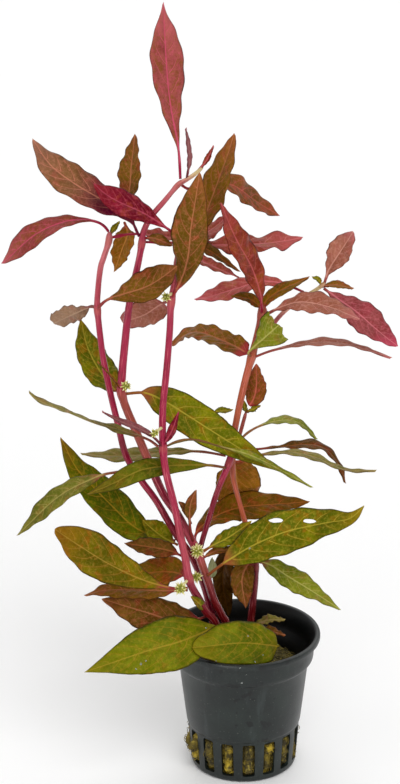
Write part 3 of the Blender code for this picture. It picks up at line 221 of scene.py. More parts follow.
LEAVES: dict[str, Leaf] = {
    # Left stem
    "leaf_left_tip_up": Leaf(path((122, 216, -2), (129.5, 190, 0), (131.5, 165, 2), (135.5, 134, 4)), 8.4,
        28, Tone.GREEN, widest=0.44),
    "leaf_left_tip_down": Leaf(path((124, 221, 0.4), (127.5, 234, 2.6), (121.5, 251, 3), (114.5, 272, 3)),
        8, 25, Tone.OLIVE),
    "leaf_left_upper": Leaf(path((109.5, 233, -4), (104.5, 226.5, -4.6), (97, 222, -5.2), (84, 220, -6.2),
        (62, 222.5, -7.8), (34, 235.5, -10), (2, 264, -12)), 9.4, 45, Tone.RED, twist=-15, petiole=0.14,
        widest=0.62, ripple=0.2, fold=8),
    "leaf_left_mid_small": Leaf(path((97, 310, -4), (91, 306.5, -1), (74, 313.5, 4), (52.5, 323.5, 8)), 8.2,
        140, Tone.PINK, petiole=0.2, widest=0.62, fullness=0.45, fold=6),
    "leaf_left_mid": Leaf(path((97, 309, -5), (107, 300, -9), (124, 294, -12), (150, 285, -13.5),
        (178, 266, -15.5)), 11.7, 22, Tone.OLIVE, petiole=0.2, widest=0.6, fold=8),
    "leaf_left_low": Leaf(path((135, 470, -3), (118, 472, -6), (97, 477, -8), (58, 497, -10),
        (17, 536, -12)), 7.6, 28, Tone.GREEN, petiole=0.28, fold=8),
    "leaf_left_foot": Leaf(path((178, 541, 1.4), (155, 536.5, 3.4), (133, 526, 4.6), (112, 506, 5.6),
        (89, 482.5, 7.2), (75, 466, 8), (60, 437, 9)), 13, 22, Tone.OLIVE, petiole=0.1, fold=8),
    # Centre stem
    "leaf_centre_crown": Leaf(path((180.5, 181, -7.5), (178.5, 150, -8.4), (172.5, 118, -8.6),
        (168.5, 90, -8), (165.8, 55, -6.6), (163, 2, -4)), 12.2, 28, Tone.PINK, petiole=0.1, widest=0.62,
        fullness=1.25, fold=8),
    "leaf_centre_crown_right": Leaf(path((180, 184, -6), (190, 189, -2), (208, 185, 2), (232, 185, 6),
        (255, 200.5, 9), (279, 216, 11)), 10.4, 42, Tone.BROWN, petiole=0.26, widest=0.5, fold=6),
    "leaf_centre_upper_left": Leaf(path((140, 238, -7), (127, 214.5, -7.5), (99.5, 198.5, -7),
        (73.5, 183, -6), (50, 164.5, -4.5), (32, 139, -3)), 12.6, 30, Tone.OLIVE, petiole=0.08, widest=0.55,
        fold=6),
    "leaf_centre_upper_right": Leaf(path((144, 242, -6), (170, 242.5, -2), (212, 245, 4), (255, 244, 7),
        (280, 241.5, 9), (303, 238, 10)), 9, 42, Tone.PINK, petiole=0.14, widest=0.72, ripple=0.9, fold=4),
    "leaf_centre_mid_left": Leaf(path((121, 393, -5), (113, 388, -0.4), (98.5, 369, 4), (87, 346, 6),
        (80.5, 319, 7)), 11.6, 22, Tone.GREEN, petiole=0.1, fold=8),
    "leaf_centre_mid_right": Leaf(path((123, 394, -7.5), (145, 393, -8.6), (165, 401.5, -8.4),
        (187, 415, -8.2), (212, 431, -8.2), (245, 451.5, -8.4), (279, 471, -8.6)), 13, 8, Tone.GREEN,
        petiole=0.1, widest=0.36, fold=4),
    "leaf_centre_low_holed": Leaf(path((206, 577, -6.5), (217, 568, -8.5), (229, 560, -9.5),
        (252, 546, -10.5), (285, 532, -12), (325, 523, -13.5), (350, 518.5, -14.5), (365, 505, -15)), 15.8,
        20, Tone.GREEN, petiole=0.14, widest=0.38, ripple=0.7, fold=6, fullness=1.05),
    "leaf_centre_low_brown": Leaf(path((196, 547, -4), (195.5, 535, 0), (205, 523.5, 2.4), (220, 514, 4.6),
        (240, 507.5, 6), (262, 505, 6.6), (310, 502, 7)), 11.4, 30, Tone.BROWN, petiole=0.1, widest=0.48,
        fold=6),
    "leaf_centre_foot_brown": Leaf(path((214, 611, -5), (200, 618.5, -7), (175, 620.5, -8.5),
        (145, 612, -9), (120, 604.5, -9), (101, 599, -9)), 14, 20, Tone.BROWN, petiole=0.14, ripple=0.7,
        fold=6),
    "leaf_over_rim": Leaf(path((252, 629, -0.5), (266, 640, -4), (278.5, 646, -7.8), (268, 645, -10.8),
        (240, 643, -13.2), (192, 648, -14.9)), 16.4, 25, Tone.GREEN, petiole=0.33, widest=0.42,
        fullness=0.5, fold=4),
    # Front stem
    "leaf_front_foot_green": Leaf(path((220, 625, -10.4), (205, 631.5, -14.2), (180, 641.5, -19.2),
        (150, 650, -21.4), (120, 660, -22.4), (84, 672.5, -23.4)), 18.8, 14, Tone.GREEN, petiole=0.03,
        widest=0.4, fullness=1.1, fold=4),
    "leaf_front_top": Leaf(path((171, 299, -14), (181, 281, -15.5), (188, 257, -16.5), (191, 228, -17),
        (195.5, 200, -17), (200, 172, -16)), 12.3, 14, Tone.OLIVE, petiole=0.07, widest=0.52, fold=8),
    "leaf_front_top_back": Leaf(path((182, 263, -10.4), (190, 249, -9.2), (199, 230, -8), (208.5, 207, -7),
        (218.5, 180, -6.6), (229, 151, -6.6), (235, 133, -7)), 11, 32, Tone.OLIVE, petiole=0.14,
        widest=0.52, fold=8),
    "leaf_front_top_left": Leaf(path((178, 236, -11), (165, 227, -12), (143, 213, -12), (118, 201.5, -12),
        (104, 193, -11.6), (93, 183.5, -11)), 9.8, 28, Tone.PINK, widest=0.62, ripple=0.2, fold=6),
    "leaf_front_upper_left": Leaf(path((169, 301, -11.5), (159, 305, -4), (143, 315, 0), (121, 322, 4)),
        10.5, 152, Tone.PINK, petiole=0.22, fullness=0.45, fold=4),
    "leaf_front_mid_left": Leaf(path((160, 448, -13.6), (147, 439, -13), (120, 430, -12), (95, 422.5, -11),
        (70, 412.5, -10.5), (40, 400.5, -10), (28, 391, -10)), 7.4, 34, Tone.GREEN, twist=104, petiole=0.16,
        fold=3, ripple=0.2),
    "leaf_front_mid_right": Leaf(path((165, 447, -13.6), (176, 442, -14), (190, 439.5, -14),
        (205, 442, -13.5), (225, 448, -13), (245, 453.5, -12.5), (262, 460.5, -12), (285, 472.5, -12),
        (313, 488, -12)), 3.6, 45, Tone.GREEN, petiole=0.4, fold=4, ripple=0.2),
    "leaf_front_low_brown": Leaf(path((184, 557, -11.6), (170, 551, -9), (150, 547, -8),
        (124, 543.5, -6.6)), 7.2, 25, Tone.RED, petiole=0.12, fold=6),
    "leaf_front_low_rear": Leaf(path((187, 577, -11), (172, 572, -4.6), (149, 573, -2.2), (122, 580, 0.8)),
        11.6, 25, Tone.BROWN, petiole=0.08, widest=0.34, fold=6),
    "leaf_front_low_broad": Leaf(path((190, 588, -12), (172, 588, -13), (144, 580.5, -14), (109, 564, -15),
        (79, 545.5, -15.5), (54, 529, -16)), 15, 25, Tone.GREEN, petiole=0.14, widest=0.62, fullness=0.7,
        fold=8),
    "leaf_front_low_under": Leaf(path((190, 590, -10.4), (170, 591, -9), (135, 590, -8.4), (104, 590.5, -8),
        (84, 596, -8)), 8, 40, Tone.RED, petiole=0.14, ripple=0.4, fold=4),
    # Right stem
    "leaf_right_top": Leaf(path((262, 314, -1), (260, 293, -5), (251, 266, -7), (236, 239, -9),
        (220, 202, -10)), 9.3, 28, Tone.RED, petiole=0.1, widest=0.5, fold=8),
    "leaf_right_top_right": Leaf(path((263, 317, -1), (276, 309.5, -4), (300, 302, -7), (331, 307.5, -9),
        (360, 320, -11)), 9.8, 42, Tone.PINK, petiole=0.14, widest=0.5, fold=6),
    "leaf_right_torn": Leaf(path((251, 357, -0.5), (249, 352, -3), (262, 340, -6), (280, 324, -8),
        (300, 306, -9)), 12.5, 12, Tone.GREEN, petiole=0.1, widest=0.6, fullness=1.4, cut=0.65, fold=6),
    "leaf_right_upper_left": Leaf(path((250, 355, 1), (238, 347, 2), (220, 338.5, 1), (200, 331.5, -1),
        (185, 334, -4), (171, 346, -6)), 9.6, 142, Tone.OLIVE, twist=-20, petiole=0.04, widest=0.26, fold=4,
        fullness=0.6),
    "leaf_right_upper_right": Leaf(path((252, 358, 0), (272, 350.5, -3), (300, 344.5, -5), (327, 342, -5.5),
        (355, 346, -6), (392, 358.5, -7)), 7.2, 68, Tone.OLIVE, petiole=0.18, fold=4, ripple=0.2),
    "leaf_right_mid_arched": Leaf(path((238, 442, -1.5), (248, 432.5, 0), (262, 425, 1), (285, 420, 3),
        (302, 424.5, 4), (317, 440, 5)), 6.5, 66, Tone.GREEN, petiole=0.28, widest=0.5, fold=4,
        ripple=0.2),
    "leaf_right_mid_dark": Leaf(path((234, 452, -2), (258, 449, -2), (285, 446.3, -1), (311, 444.5, 0),
        (327, 450, 0.5), (340, 467, 1), (345, 484, 1)), 5.8, 60, Tone.BROWN, petiole=0.2, widest=0.52,
        fold=4, ripple=0.3),
    "leaf_right_mid_green": Leaf(path((234, 457, -3), (262, 454.5, -7), (292, 452.5, -8), (316, 457.5, -9),
        (332, 465, -9.5), (350, 470.5, -10), (377, 471, -10)), 6, 68, Tone.GREEN, petiole=0.16, fold=3,
        ripple=0.2),
    "leaf_right_mid_left": Leaf(path((228, 456, -1), (200, 451.5, 0), (170, 452, 1), (140, 455, 2),
        (115, 456, 2.5), (80, 454, 3)), 8, 57, Tone.GREEN, petiole=0.2, widest=0.55, fold=6, ripple=0.3),
    "leaf_right_mid_low": Leaf(path((227, 468, -3), (212, 465.5, -6.7), (195, 465, -8), (167, 466, -8.1),
        (140, 470.5, -9.1), (112, 484, -9.6), (87, 494.5, -10.4)), 7.4, 16, Tone.GREEN, petiole=0.14,
        widest=0.55, fold=3, ripple=0.2),
    # Side shoot of the right stem
    "leaf_shoot_left": Leaf(path((306, 293, 1), (285, 284.5, 4), (262, 281.5, 6.4), (238, 288, 7),
        (215, 295, 7.4), (194, 300, 8)), 8.8, 42, Tone.PINK, petiole=0.1, widest=0.6, fold=6),
    "leaf_shoot_right": Leaf(path((322, 287, -0.5), (336, 297.5, -3), (355.5, 311, -4.5), (376, 329, -6),
        (398, 347, -7)), 11.6, 28, Tone.RED, petiole=0.06, widest=0.54, fold=6),
    "leaf_shoot_tip": Leaf(path((324, 284, -0.6), (330, 268, -1), (340.5, 251.5, -1), (354, 231, -1)), 9.2,
        26, Tone.PINK, petiole=0.12, widest=0.56, fold=6),
    # Rear stem
    "leaf_rear_top": Leaf(path((248, 408, 3), (254, 398, 3), (256.5, 385, 3), (256.5, 363, 2)), 8, 18,
        Tone.BROWN, petiole=0.05, widest=0.38, fold=6),
    "leaf_rear_mid": Leaf(path((233, 459, 5), (235, 465, 9), (237.5, 488, 13), (240, 521, 15)), 16.8, 10,
        Tone.OLIVE, petiole=0.1, fullness=0.6, fold=4),
    "leaf_rear_low_right": Leaf(path((255, 561, 2.4), (270, 565, -1), (289, 577, -3), (315, 593, -6),
        (341, 610.5, -8)), 8.8, 28, Tone.GREEN, petiole=0.08, widest=0.38, fullness=1.0, fold=6),
    "leaf_rear_hanging_dark": Leaf(path((250, 548, 4), (238, 549, 8), (226, 560, 9.4), (223, 585, 10),
        (229, 616, 10)), 7.8, 18, Tone.BROWN, petiole=0.1, widest=0.5, fullness=0.6, fold=6),
    "leaf_rear_hanging_olive": Leaf(path((254, 560, 1.5), (247, 566, -0.8), (242, 581, -2.2),
        (246, 608, -1.8)), 9, 15, Tone.OLIVE, petiole=0.08, widest=0.4, fold=6),
}

# Small leaves, buds and shoots that are fused to their stem
SPRIGS: dict[str, tuple[Leaf, ...]] = {
    "stem_left": (Leaf(path((109, 236, -3.9), (114, 229, -3.4), (120, 221, -3)), 2.4, 30, Tone.GREEN,
        ripple=0.1), Leaf(path((109, 238, -3.8), (132, 234, -1), (160, 236, 3), (196, 241, 7)), 5, 40,
        Tone.PINK, petiole=0.3), Leaf(path((178, 545, -1.8), (161, 536, 0), (142, 520, 1)), 9, 25,
        Tone.GREEN)),
    "stem_centre": (Leaf(path((187, 178, -7), (189.5, 160, -8), (188, 143, -8.6), (185.5, 127, -9)), 3, 55,
        Tone.PINK, fold=4, ripple=0.1), Leaf(path((199, 170, -7), (207, 160, -7), (214, 145, -7)), 2.2, 30,
        Tone.RED, ripple=0.1), Leaf(path((122, 390, -7.4), (111, 376, -10), (97, 361, -12)), 1.2, 60,
        Tone.BROWN, fold=0, ripple=0), Leaf(path((143.5, 238, -7), (156, 239, -9), (173, 246, -9.6)), 4.4,
        30, Tone.OLIVE, ripple=0.1), Leaf(path((199, 554, -5.6), (212, 546, -5), (230, 536.5, -4.4),
        (252, 521, -3.6)), 6, 25, Tone.GREEN, petiole=0.2, fold=6), Leaf(path((201, 559, -5.4),
        (217, 551, -3.6), (233, 551, -3)), 2.8, 30, Tone.OLIVE, ripple=0.1), Leaf(path((210, 580, -5),
        (212, 571, -2), (212, 557, -1)), 3.6, 20, Tone.GREEN, ripple=0.1), Leaf(path((195, 547, -5.7),
        (190.5, 531, -8.4), (189.5, 514, -9), (191, 502, -9.4), (196.5, 489, -9.6)), 4.6, 20, Tone.OLIVE,
        petiole=0.52, ripple=0.1), Leaf(path((191, 524, -8.8), (185, 509, -9.4), (178, 501, -9.6)), 3, 30,
        Tone.RED, petiole=0.3, ripple=0.1)),
    "stem_front": (Leaf(path((163, 447, -13.4), (152, 436, -15.8), (135, 427, -16.4), (119, 421, -16.6),
        (101, 411, -16.6)), 3.4, 50, Tone.RED, petiole=0.2, ripple=0.1), Leaf(path((163, 446, -13.4),
        (172, 431, -16.4), (179, 411, -17)), 3.2, 24, Tone.CRIMSON, ripple=0.1),
        Leaf(path((178, 252, -10.8), (190, 247, -4), (208, 250, -2.4), (240, 272, -1)), 4.6, 35, Tone.BROWN,
        ripple=0.2), Leaf(path((206, 611, -9.2), (199, 603.5, -11.4), (190.5, 596, -12.6)), 3.6, 30,
        Tone.GREEN, ripple=0.1), Leaf(path((177, 262, -11.2), (188, 255, -6), (207, 263, -5),
        (240, 278, -3.4)), 4.6, 140, Tone.PINK, ripple=0.3), Leaf(path((178, 246, -10.6), (200, 236, 0),
        (215, 227, 3), (230, 214, 5)), 8, 30, Tone.PINK)),
    "stem_right": (Leaf(path((262, 311, 0), (268, 299, 1), (283, 289, 1), (310, 277, 3)), 6.4, 45,
        Tone.BROWN, petiole=0.05, widest=0.36, fold=6, ripple=0.1), Leaf(path((262, 309, 0), (249, 299, 1),
        (230, 296, 0)), 5, 40, Tone.BROWN, petiole=0.05, widest=0.36, ripple=0.1),
        Leaf(path((234.4, 431, -1.6), (222, 418, -0.6), (213, 413, 0)), 1.2, 50, Tone.BROWN, fold=0,
        ripple=0), Leaf(path((211.5, 413.5, 0), (220, 411, 0.2), (233, 410, 1)), 3, 40, Tone.GREEN,
        ripple=0.1)),
    "shoot_right": (Leaf(path((320, 287, 0.4), (336, 285, 1), (354, 289, 2)), 4, 45, Tone.OLIVE,
        ripple=0.1), Leaf(path((321.5, 285.8, 0.3), (318, 279.5, 1), (312, 277, 2)), 2.4, 40, Tone.GREEN,
        ripple=0.1)),
    "stem_rear": (Leaf(path((246, 412, 3), (244.5, 407, 1.4), (244, 400, 1)), 2, 20, Tone.GREEN),
        Leaf(path((246, 412, 3), (254, 409, 1.6), (261, 405, 1)), 2, 20, Tone.GREEN),
        Leaf(path((251, 626, 2.8), (268, 620, 0), (286, 620, -2)), 4, 45, Tone.OLIVE),
        Leaf(path((251, 632, 2.6), (270, 631, -2), (286, 636, -4)), 4, 45, Tone.BROWN)),
}

FLOWERS: dict[str, Flower] = {
    "flower_head_low": Flower(Spot(180.5, 588.5, -17), 1.9),
    "flower_head_foot": Flower(Spot(196.5, 577, -8.6), 1.8),
    "flower_head_fork": Flower(Spot(197, 551, -10), 2.1),
    "flower_head_left": Flower(Spot(126, 386, -10.6), 1.6),
    "flower_head_mid": Flower(Spot(154.5, 433, -18.1), 1.4),
    "flower_head_top": Flower(Spot(166, 297, -16.8), 1.5),
}


def sway_at(spot: Spot) -> float:
    """How far the plant leans back at a spot, in mm: nothing at its foot."""
    growth = min(1.0, max(0.0, (SWAY_FOOT_ROW - spot.row) / SWAY_GROWTH))
    across = SWAY_ACROSS * math.sin((spot.column - SWAY_COLUMN) / SWAY_WIDTH)
    along = SWAY_ALONG * math.sin((spot.row - SWAY_FOOT_ROW) / SWAY_HEIGHT)
    return growth * (across + along)


def place(spot: Spot) -> Vector:
    """Point in millimetres that is seen at a spot's pixel at the spot's depth."""
    depth = spot.depth + sway_at(spot)
    slope = (VIEW_ROW - spot.row) / VIEW_FOCAL_LENGTH
    cosine, sine = math.cos(VIEW_PITCH), math.sin(VIEW_PITCH)
    run = VIEW_DISTANCE + cosine * depth
    rise = (slope * run - sine * depth) / (cosine + sine * slope)
    across = (spot.column - VIEW_COLUMN) / VIEW_FOCAL_LENGTH * (run - sine * rise)
    return Vector((across, depth, VIEW_AIM.z + rise))


def row_of(point: Vector) -> float:
    """Row of the photograph in which a point in millimetres is seen."""
    away = point - VIEW_AIM
    upward = Vector((0.0, math.sin(VIEW_PITCH), math.cos(VIEW_PITCH)))
    return VIEW_ROW - VIEW_FOCAL_LENGTH * away.dot(upward) / (VIEW_DISTANCE - away.dot(TO_VIEWER))


def smooth_route(points: list[Vector], step: float) -> list[Vector]:
    """Points at even steps along a Catmull-Rom curve.

    Args:
        points: The points that the curve passes through.
        step: Wanted distance between the points of the route, in mm.

    Returns:
        The route, ending exactly on the first and last of the given points.
    """
    ends = [points[0] * 2 - points[1], *points, points[-1] * 2 - points[-2]]
    fine = []
    for first, start, end, last in zip(ends, ends[1:], ends[2:], ends[3:]):
        for part in range(CURVE_PARTS):
            t = part / CURVE_PARTS
            bend = (2 * first - 5 * start + 4 * end - last) * t * t
            twist = (3 * start - first - 3 * end + last) * t * t * t
            fine.append(0.5 * (2 * start + (end - first) * t + bend + twist))
    fine.append(points[-1])
    lengths = [0.0]
    for before, after in zip(fine, fine[1:]):
        lengths.append(lengths[-1] + (after - before).length)
    count = max(2, round(lengths[-1] / step))
    route = []
    index = 0
    for number in range(count + 1):
        wanted = lengths[-1] * number / count
        while index < len(fine) - 2 and lengths[index + 1] < wanted:
            index += 1
        share = (wanted - lengths[index]) / max(lengths[index + 1] - lengths[index], 1e-9)
        route.append(fine[index].lerp(fine[index + 1], share))
    return route


def smoothstep(low: float, high: float, value: float) -> float:
    """Rises smoothly from 0 at low to 1 at high."""
    share = min(1.0, max(0.0, (value - low) / (high - low)))
    return share * share * (3 - 2 * share)


def solid_object(name: str, data: bpy.types.ID,
                 materials: Sequence[bpy.types.Material] = ()) -> bpy.types.Object:
    """Object at the origin, linked to the scene, that shows its data in its materials."""
    data.materials.clear()
    for material in materials:
        data.materials.append(material)
    made = bpy.data.objects.new(name, data)
    bpy.context.collection.objects.link(made)
    return made


def drawn_object(name: str, drawing: bmesh.types.BMesh,
                 materials: Sequence[bpy.types.Material] = ()) -> bpy.types.Object:
    """Object of a drawing in metres, which is freed."""
    mesh = bpy.data.meshes.new(name)
    drawing.to_mesh(mesh)
    drawing.free()
    return solid_object(name, mesh, materials)


def kept_shape(source: bpy.types.Object, name: str,
               materials: Sequence[bpy.types.Material]) -> bpy.types.Object:
    """Plain object with the source's modifiers applied; the source is removed."""
    bpy.context.view_layer.update()
    mesh = bpy.data.meshes.new_from_object(source.evaluated_get(bpy.context.evaluated_depsgraph_get()))
    mesh.name = name
    source.modifiers.clear()
    bpy.data.objects.remove(source, do_unlink=True)
    return solid_object(name, mesh, materials)


def cut_away(piece: bpy.types.Object, cutter: bpy.types.Object, name: str,
             materials: Sequence[bpy.types.Material]) -> bpy.types.Object:
    """Cuts a shape out of a piece and keeps the result as a plain mesh.

    Args:
        piece: The piece; it is removed afterwards.
        cutter: The shape to cut away; it is removed too.
        name: Name of the finished object.
        materials: Its materials.

    Returns:
        The finished object.
    """
    cut = piece.modifiers.new("cut", "BOOLEAN")
    cut.operation = "DIFFERENCE"
    cut.solver = "EXACT"
    cut.object = cutter
    made = kept_shape(piece, name, materials)
    bpy.data.objects.remove(cutter, do_unlink=True)
    return made


def close_rings(drawing: bmesh.types.BMesh, rings: Sequence[list[bmesh.types.BMVert]]) -> None:
    """Draws the faces of a closed solid between rings.

    Args:
        drawing: The mesh that the rings are in.
        rings: Rings of as many points each; a ring of one point closes an end.
    """
    for lower, upper in zip(rings, rings[1:]):
        count = max(len(lower), len(upper))
        for index in range(count):
            after = (index + 1) % count
            corners = (
                lower[index % len(lower)], lower[after % len(lower)],
                upper[after % len(upper)], upper[index % len(upper)],
            )
            drawing.faces.new(tuple(dict.fromkeys(corners)))
    for end in (rings[0], rings[-1]):
        if len(end) > 2:
            drawing.faces.new(end)
    bmesh.ops.recalc_face_normals(drawing, faces=drawing.faces)


def outwards(sides: int) -> list[Vector]:
    """Level directions all round the pot's axis, from the front on."""
    angles = (math.tau * number / sides for number in range(sides))
    return [Vector((math.sin(angle), -math.cos(angle), 0.0)) for angle in angles]


class NodeBuild:
    """Adds nodes to a tree and feeds their inputs."""

    def __init__(self, tree: bpy.types.NodeTree) -> None:
        """Starts on a tree."""
        self.tree = tree

    def feed(self, target: bpy.types.NodeSocket, source: object) -> None:
        """Links a socket to a target, or sets the target's value."""
        if isinstance(source, bpy.types.NodeSocket):
            self.tree.links.new(source, target)
        elif target.type == "RGBA" and len(source) == 3:
            target.default_value = (*source, 1.0)
        else:
            target.default_value = source

    def add(
        self, kind: str, feeds: dict[object, object] | None = None, **settings: object,
    ) -> bpy.types.Node:
        """Adds a node, sets its properties and feeds its inputs by name or number."""
        node = self.tree.nodes.new(kind)
        for name, value in settings.items():
            setattr(node, name, value)
        for key, value in (feeds or {}).items():
            self.feed(node.inputs[key], value)
        return node

    def out(self, kind: str, feeds: dict[object, object] | None = None,
            **settings: object) -> bpy.types.NodeSocket:
        """First output of a new node."""
        return self.add(kind, feeds, **settings).outputs[0]

    def math(self, operation: str, *values: object) -> bpy.types.NodeSocket:
        """Output of a Math node."""
        return self.out("ShaderNodeMath", dict(enumerate(values)), operation=operation)


class ShaderBuild(NodeBuild):
    """Builds one node material around its Principled shader."""

    def __init__(self, name: str, values: dict[str, object] | None = None) -> None:
        """Starts a material of that name, with values for its shader's unlinked inputs."""
        self.material = bpy.data.materials.new(name)
        self.material.use_nodes = True
        super().__init__(self.material.node_tree)
        self.shader = self.tree.nodes["Principled BSDF"]
        for label, value in (values or {}).items():
            self.feed(self.shader.inputs[label], value)

    def step(self, value: object, low: float, high: float, most: float = 1.0) -> bpy.types.NodeSocket:
        """Value turned smoothly from 0 at low to most at high."""
        feeds = {"Value": value, "From Min": low, "From Max": high, "To Max": most}
        return self.out("ShaderNodeMapRange", feeds, interpolation_type="SMOOTHSTEP")

    def layers(self, colour: object, *coats: tuple[object, object]) -> bpy.types.NodeSocket:
        """Colour under coats, each given as its share and its colour."""
        for share, coat in coats:
            feeds = {"Factor": share, 6: colour, 7: coat}
            colour = self.add("ShaderNodeMix", feeds, data_type="RGBA").outputs[2]
        return colour

    def here(self) -> bpy.types.NodeSocket:
        """Object coordinates."""
        return self.add("ShaderNodeTexCoord").outputs["Object"]

    def noise(self, scale: float, detail: float = 3.0, stretch: tuple[float, float, float] | None = None,
              source: bpy.types.NodeSocket | None = None) -> bpy.types.NodeSocket:
        """Noise of 0 to 1 on Object coordinates, or on another vector."""
        source = self.here() if source is None else source
        if stretch is not None:
            source = self.out("ShaderNodeMapping", {"Vector": source, "Scale": stretch})
        feeds = {"Vector": source, "Scale": scale, "Detail": detail}
        return self.add("ShaderNodeTexNoise", feeds).outputs["Fac"]

    def attribute(self, name: str, output: str = "Fac") -> bpy.types.NodeSocket:
        """A number or colour that the mesh carries at each of its points."""
        return self.add("ShaderNodeAttribute", attribute_name=name).outputs[output]

    def finish(self, colour: object, roughness: object, height: object = None,
               depth: float = 0.0001, strength: float = 0.6) -> bpy.types.Material:
        """Feeds the shader.

        Args:
            colour: Base colour, or a socket that gives it.
            roughness: Roughness, or a socket that gives it.
            height: Relief of 0 to 1, if the surface has any.
            depth: Height of that relief in metres.
            strength: How strongly the relief shows.

        Returns:
            The finished material.
        """
        self.feed(self.shader.inputs["Base Color"], colour)
        self.feed(self.shader.inputs["Roughness"], roughness)
        if height is not None:
            bump = self.out("ShaderNodeBump", {"Strength": strength, "Distance": depth, "Height": height})
            self.feed(self.shader.inputs["Normal"], bump)
        return self.material


class GeometryBuild(NodeBuild):
    """Builds one Geometry Nodes tree with named inputs."""

    def __init__(self, name: str, **inputs: tuple[str, float]) -> None:
        """Starts a tree from a geometry and the material for its skin.

        Args:
            name: The tree's name.
            inputs: Socket kind and default value of each further input.
        """
        super().__init__(bpy.data.node_groups.new(name, "GeometryNodeTree"))
        sockets = {"Geometry": ("Geometry", None), **inputs, "Skin": ("Material", None)}
        for label, (kind, value) in sockets.items():
            socket = self.tree.interface.new_socket(label, in_out="INPUT", socket_type=f"NodeSocket{kind}")
            if value is not None:
                socket.default_value = value
        self.tree.interface.new_socket("Geometry", in_out="OUTPUT", socket_type="NodeSocketGeometry")
        self.inputs = self.tree.nodes.new("NodeGroupInput").outputs
        self.output = self.tree.nodes.new("NodeGroupOutput")

    def join(self, *parts: bpy.types.NodeSocket) -> bpy.types.NodeSocket:
        """Several geometries as one."""
        joined = self.add("GeometryNodeJoinGeometry")
        for part in parts:
            self.feed(joined.inputs[0], part)
        return joined.outputs[0]

    def end(self, geometry: bpy.types.NodeSocket) -> bpy.types.NodeTree:
        """Ends the tree with Realize Instances and Set Material."""
        real = self.out("GeometryNodeRealizeInstances", {0: geometry})
        feeds = {0: real, "Material": self.inputs["Skin"]}
        self.feed(self.output.inputs[0], self.out("GeometryNodeSetMaterial", feeds))
        return self.tree


def run_tree(base: bpy.types.Object, tree: bpy.types.NodeTree, values: dict[str, float],
             name: str, material: bpy.types.Material) -> bpy.types.Object:
    """Evaluates a tree on an object and keeps the result as a plain mesh.

    Args:
        base: The object that the tree works on; it is removed afterwards.
        tree: The Geometry Nodes tree.
        values: Value of each named input besides its skin.
        name: Name of the finished object.
        material: Its material.

    Returns:
        The finished object.
    """
    modifier = base.modifiers.new("shape", "NODES")
    modifier.node_group = tree
    values = {**values, "Skin": material}
    for socket in tree.interface.items_tree:
        if socket.in_out == "INPUT" and socket.name in values:
            modifier[socket.identifier] = values[socket.name]
    return kept_shape(base, name, [material])


@dataclass(frozen=True)
class LeafFinish:
    """Colours of one face of a leaf, with their mottling, veins, painted shade between the veins and gloss.
    """

    name: str
    lamina: Colour
    shade: Colour
    blotch: Colour
    vein: Colour
    base: Colour
    tip: Colour
    margin: Colour
    vein_strength: float = 0.6
    blotch_share: float = 0.35
    roughness: float = 0.42
    # How far along the leaf its base colour reaches; on one finish that colour is a painted shadow.
    foot_reach: float = 0.16


class Skin(Enum):
    """Colour of a stem's skin over some of its length."""

    CREAM = tint(204, 184, 132)
    SHELL = tint(226, 172, 150)
    PINK = tint(184, 102, 104)
    ROSE = tint(164, 58, 74)
    CRIMSON = tint(148, 22, 60)
    WINE = tint(110, 8, 36)
    DARK_WINE = tint(92, 10, 12)
    SALMON = tint(168, 84, 52)
    RUST = tint(142, 66, 52)


@dataclass(frozen=True)
class StemFinish:
    """How strongly a stem's skin is streaked, shaded and paler at its nodes; its pale and dark streaking is
    partly a painted highlight and painted shade.
    """

    name: str = "stem_skin"
    pale: Colour = tint(214, 120, 124)
    dark: Colour = tint(76, 4, 22)
    node: Colour = tint(172, 92, 70)
    roughness: float = 0.22


def gloss_tint(colour: Colour) -> Colour:
    """Tint of the gloss over a damp coloured skin, as seen in a bright even light."""
    brightest = max(colour)
    return tuple(0.15 + 0.85 * share / brightest for share in colour)


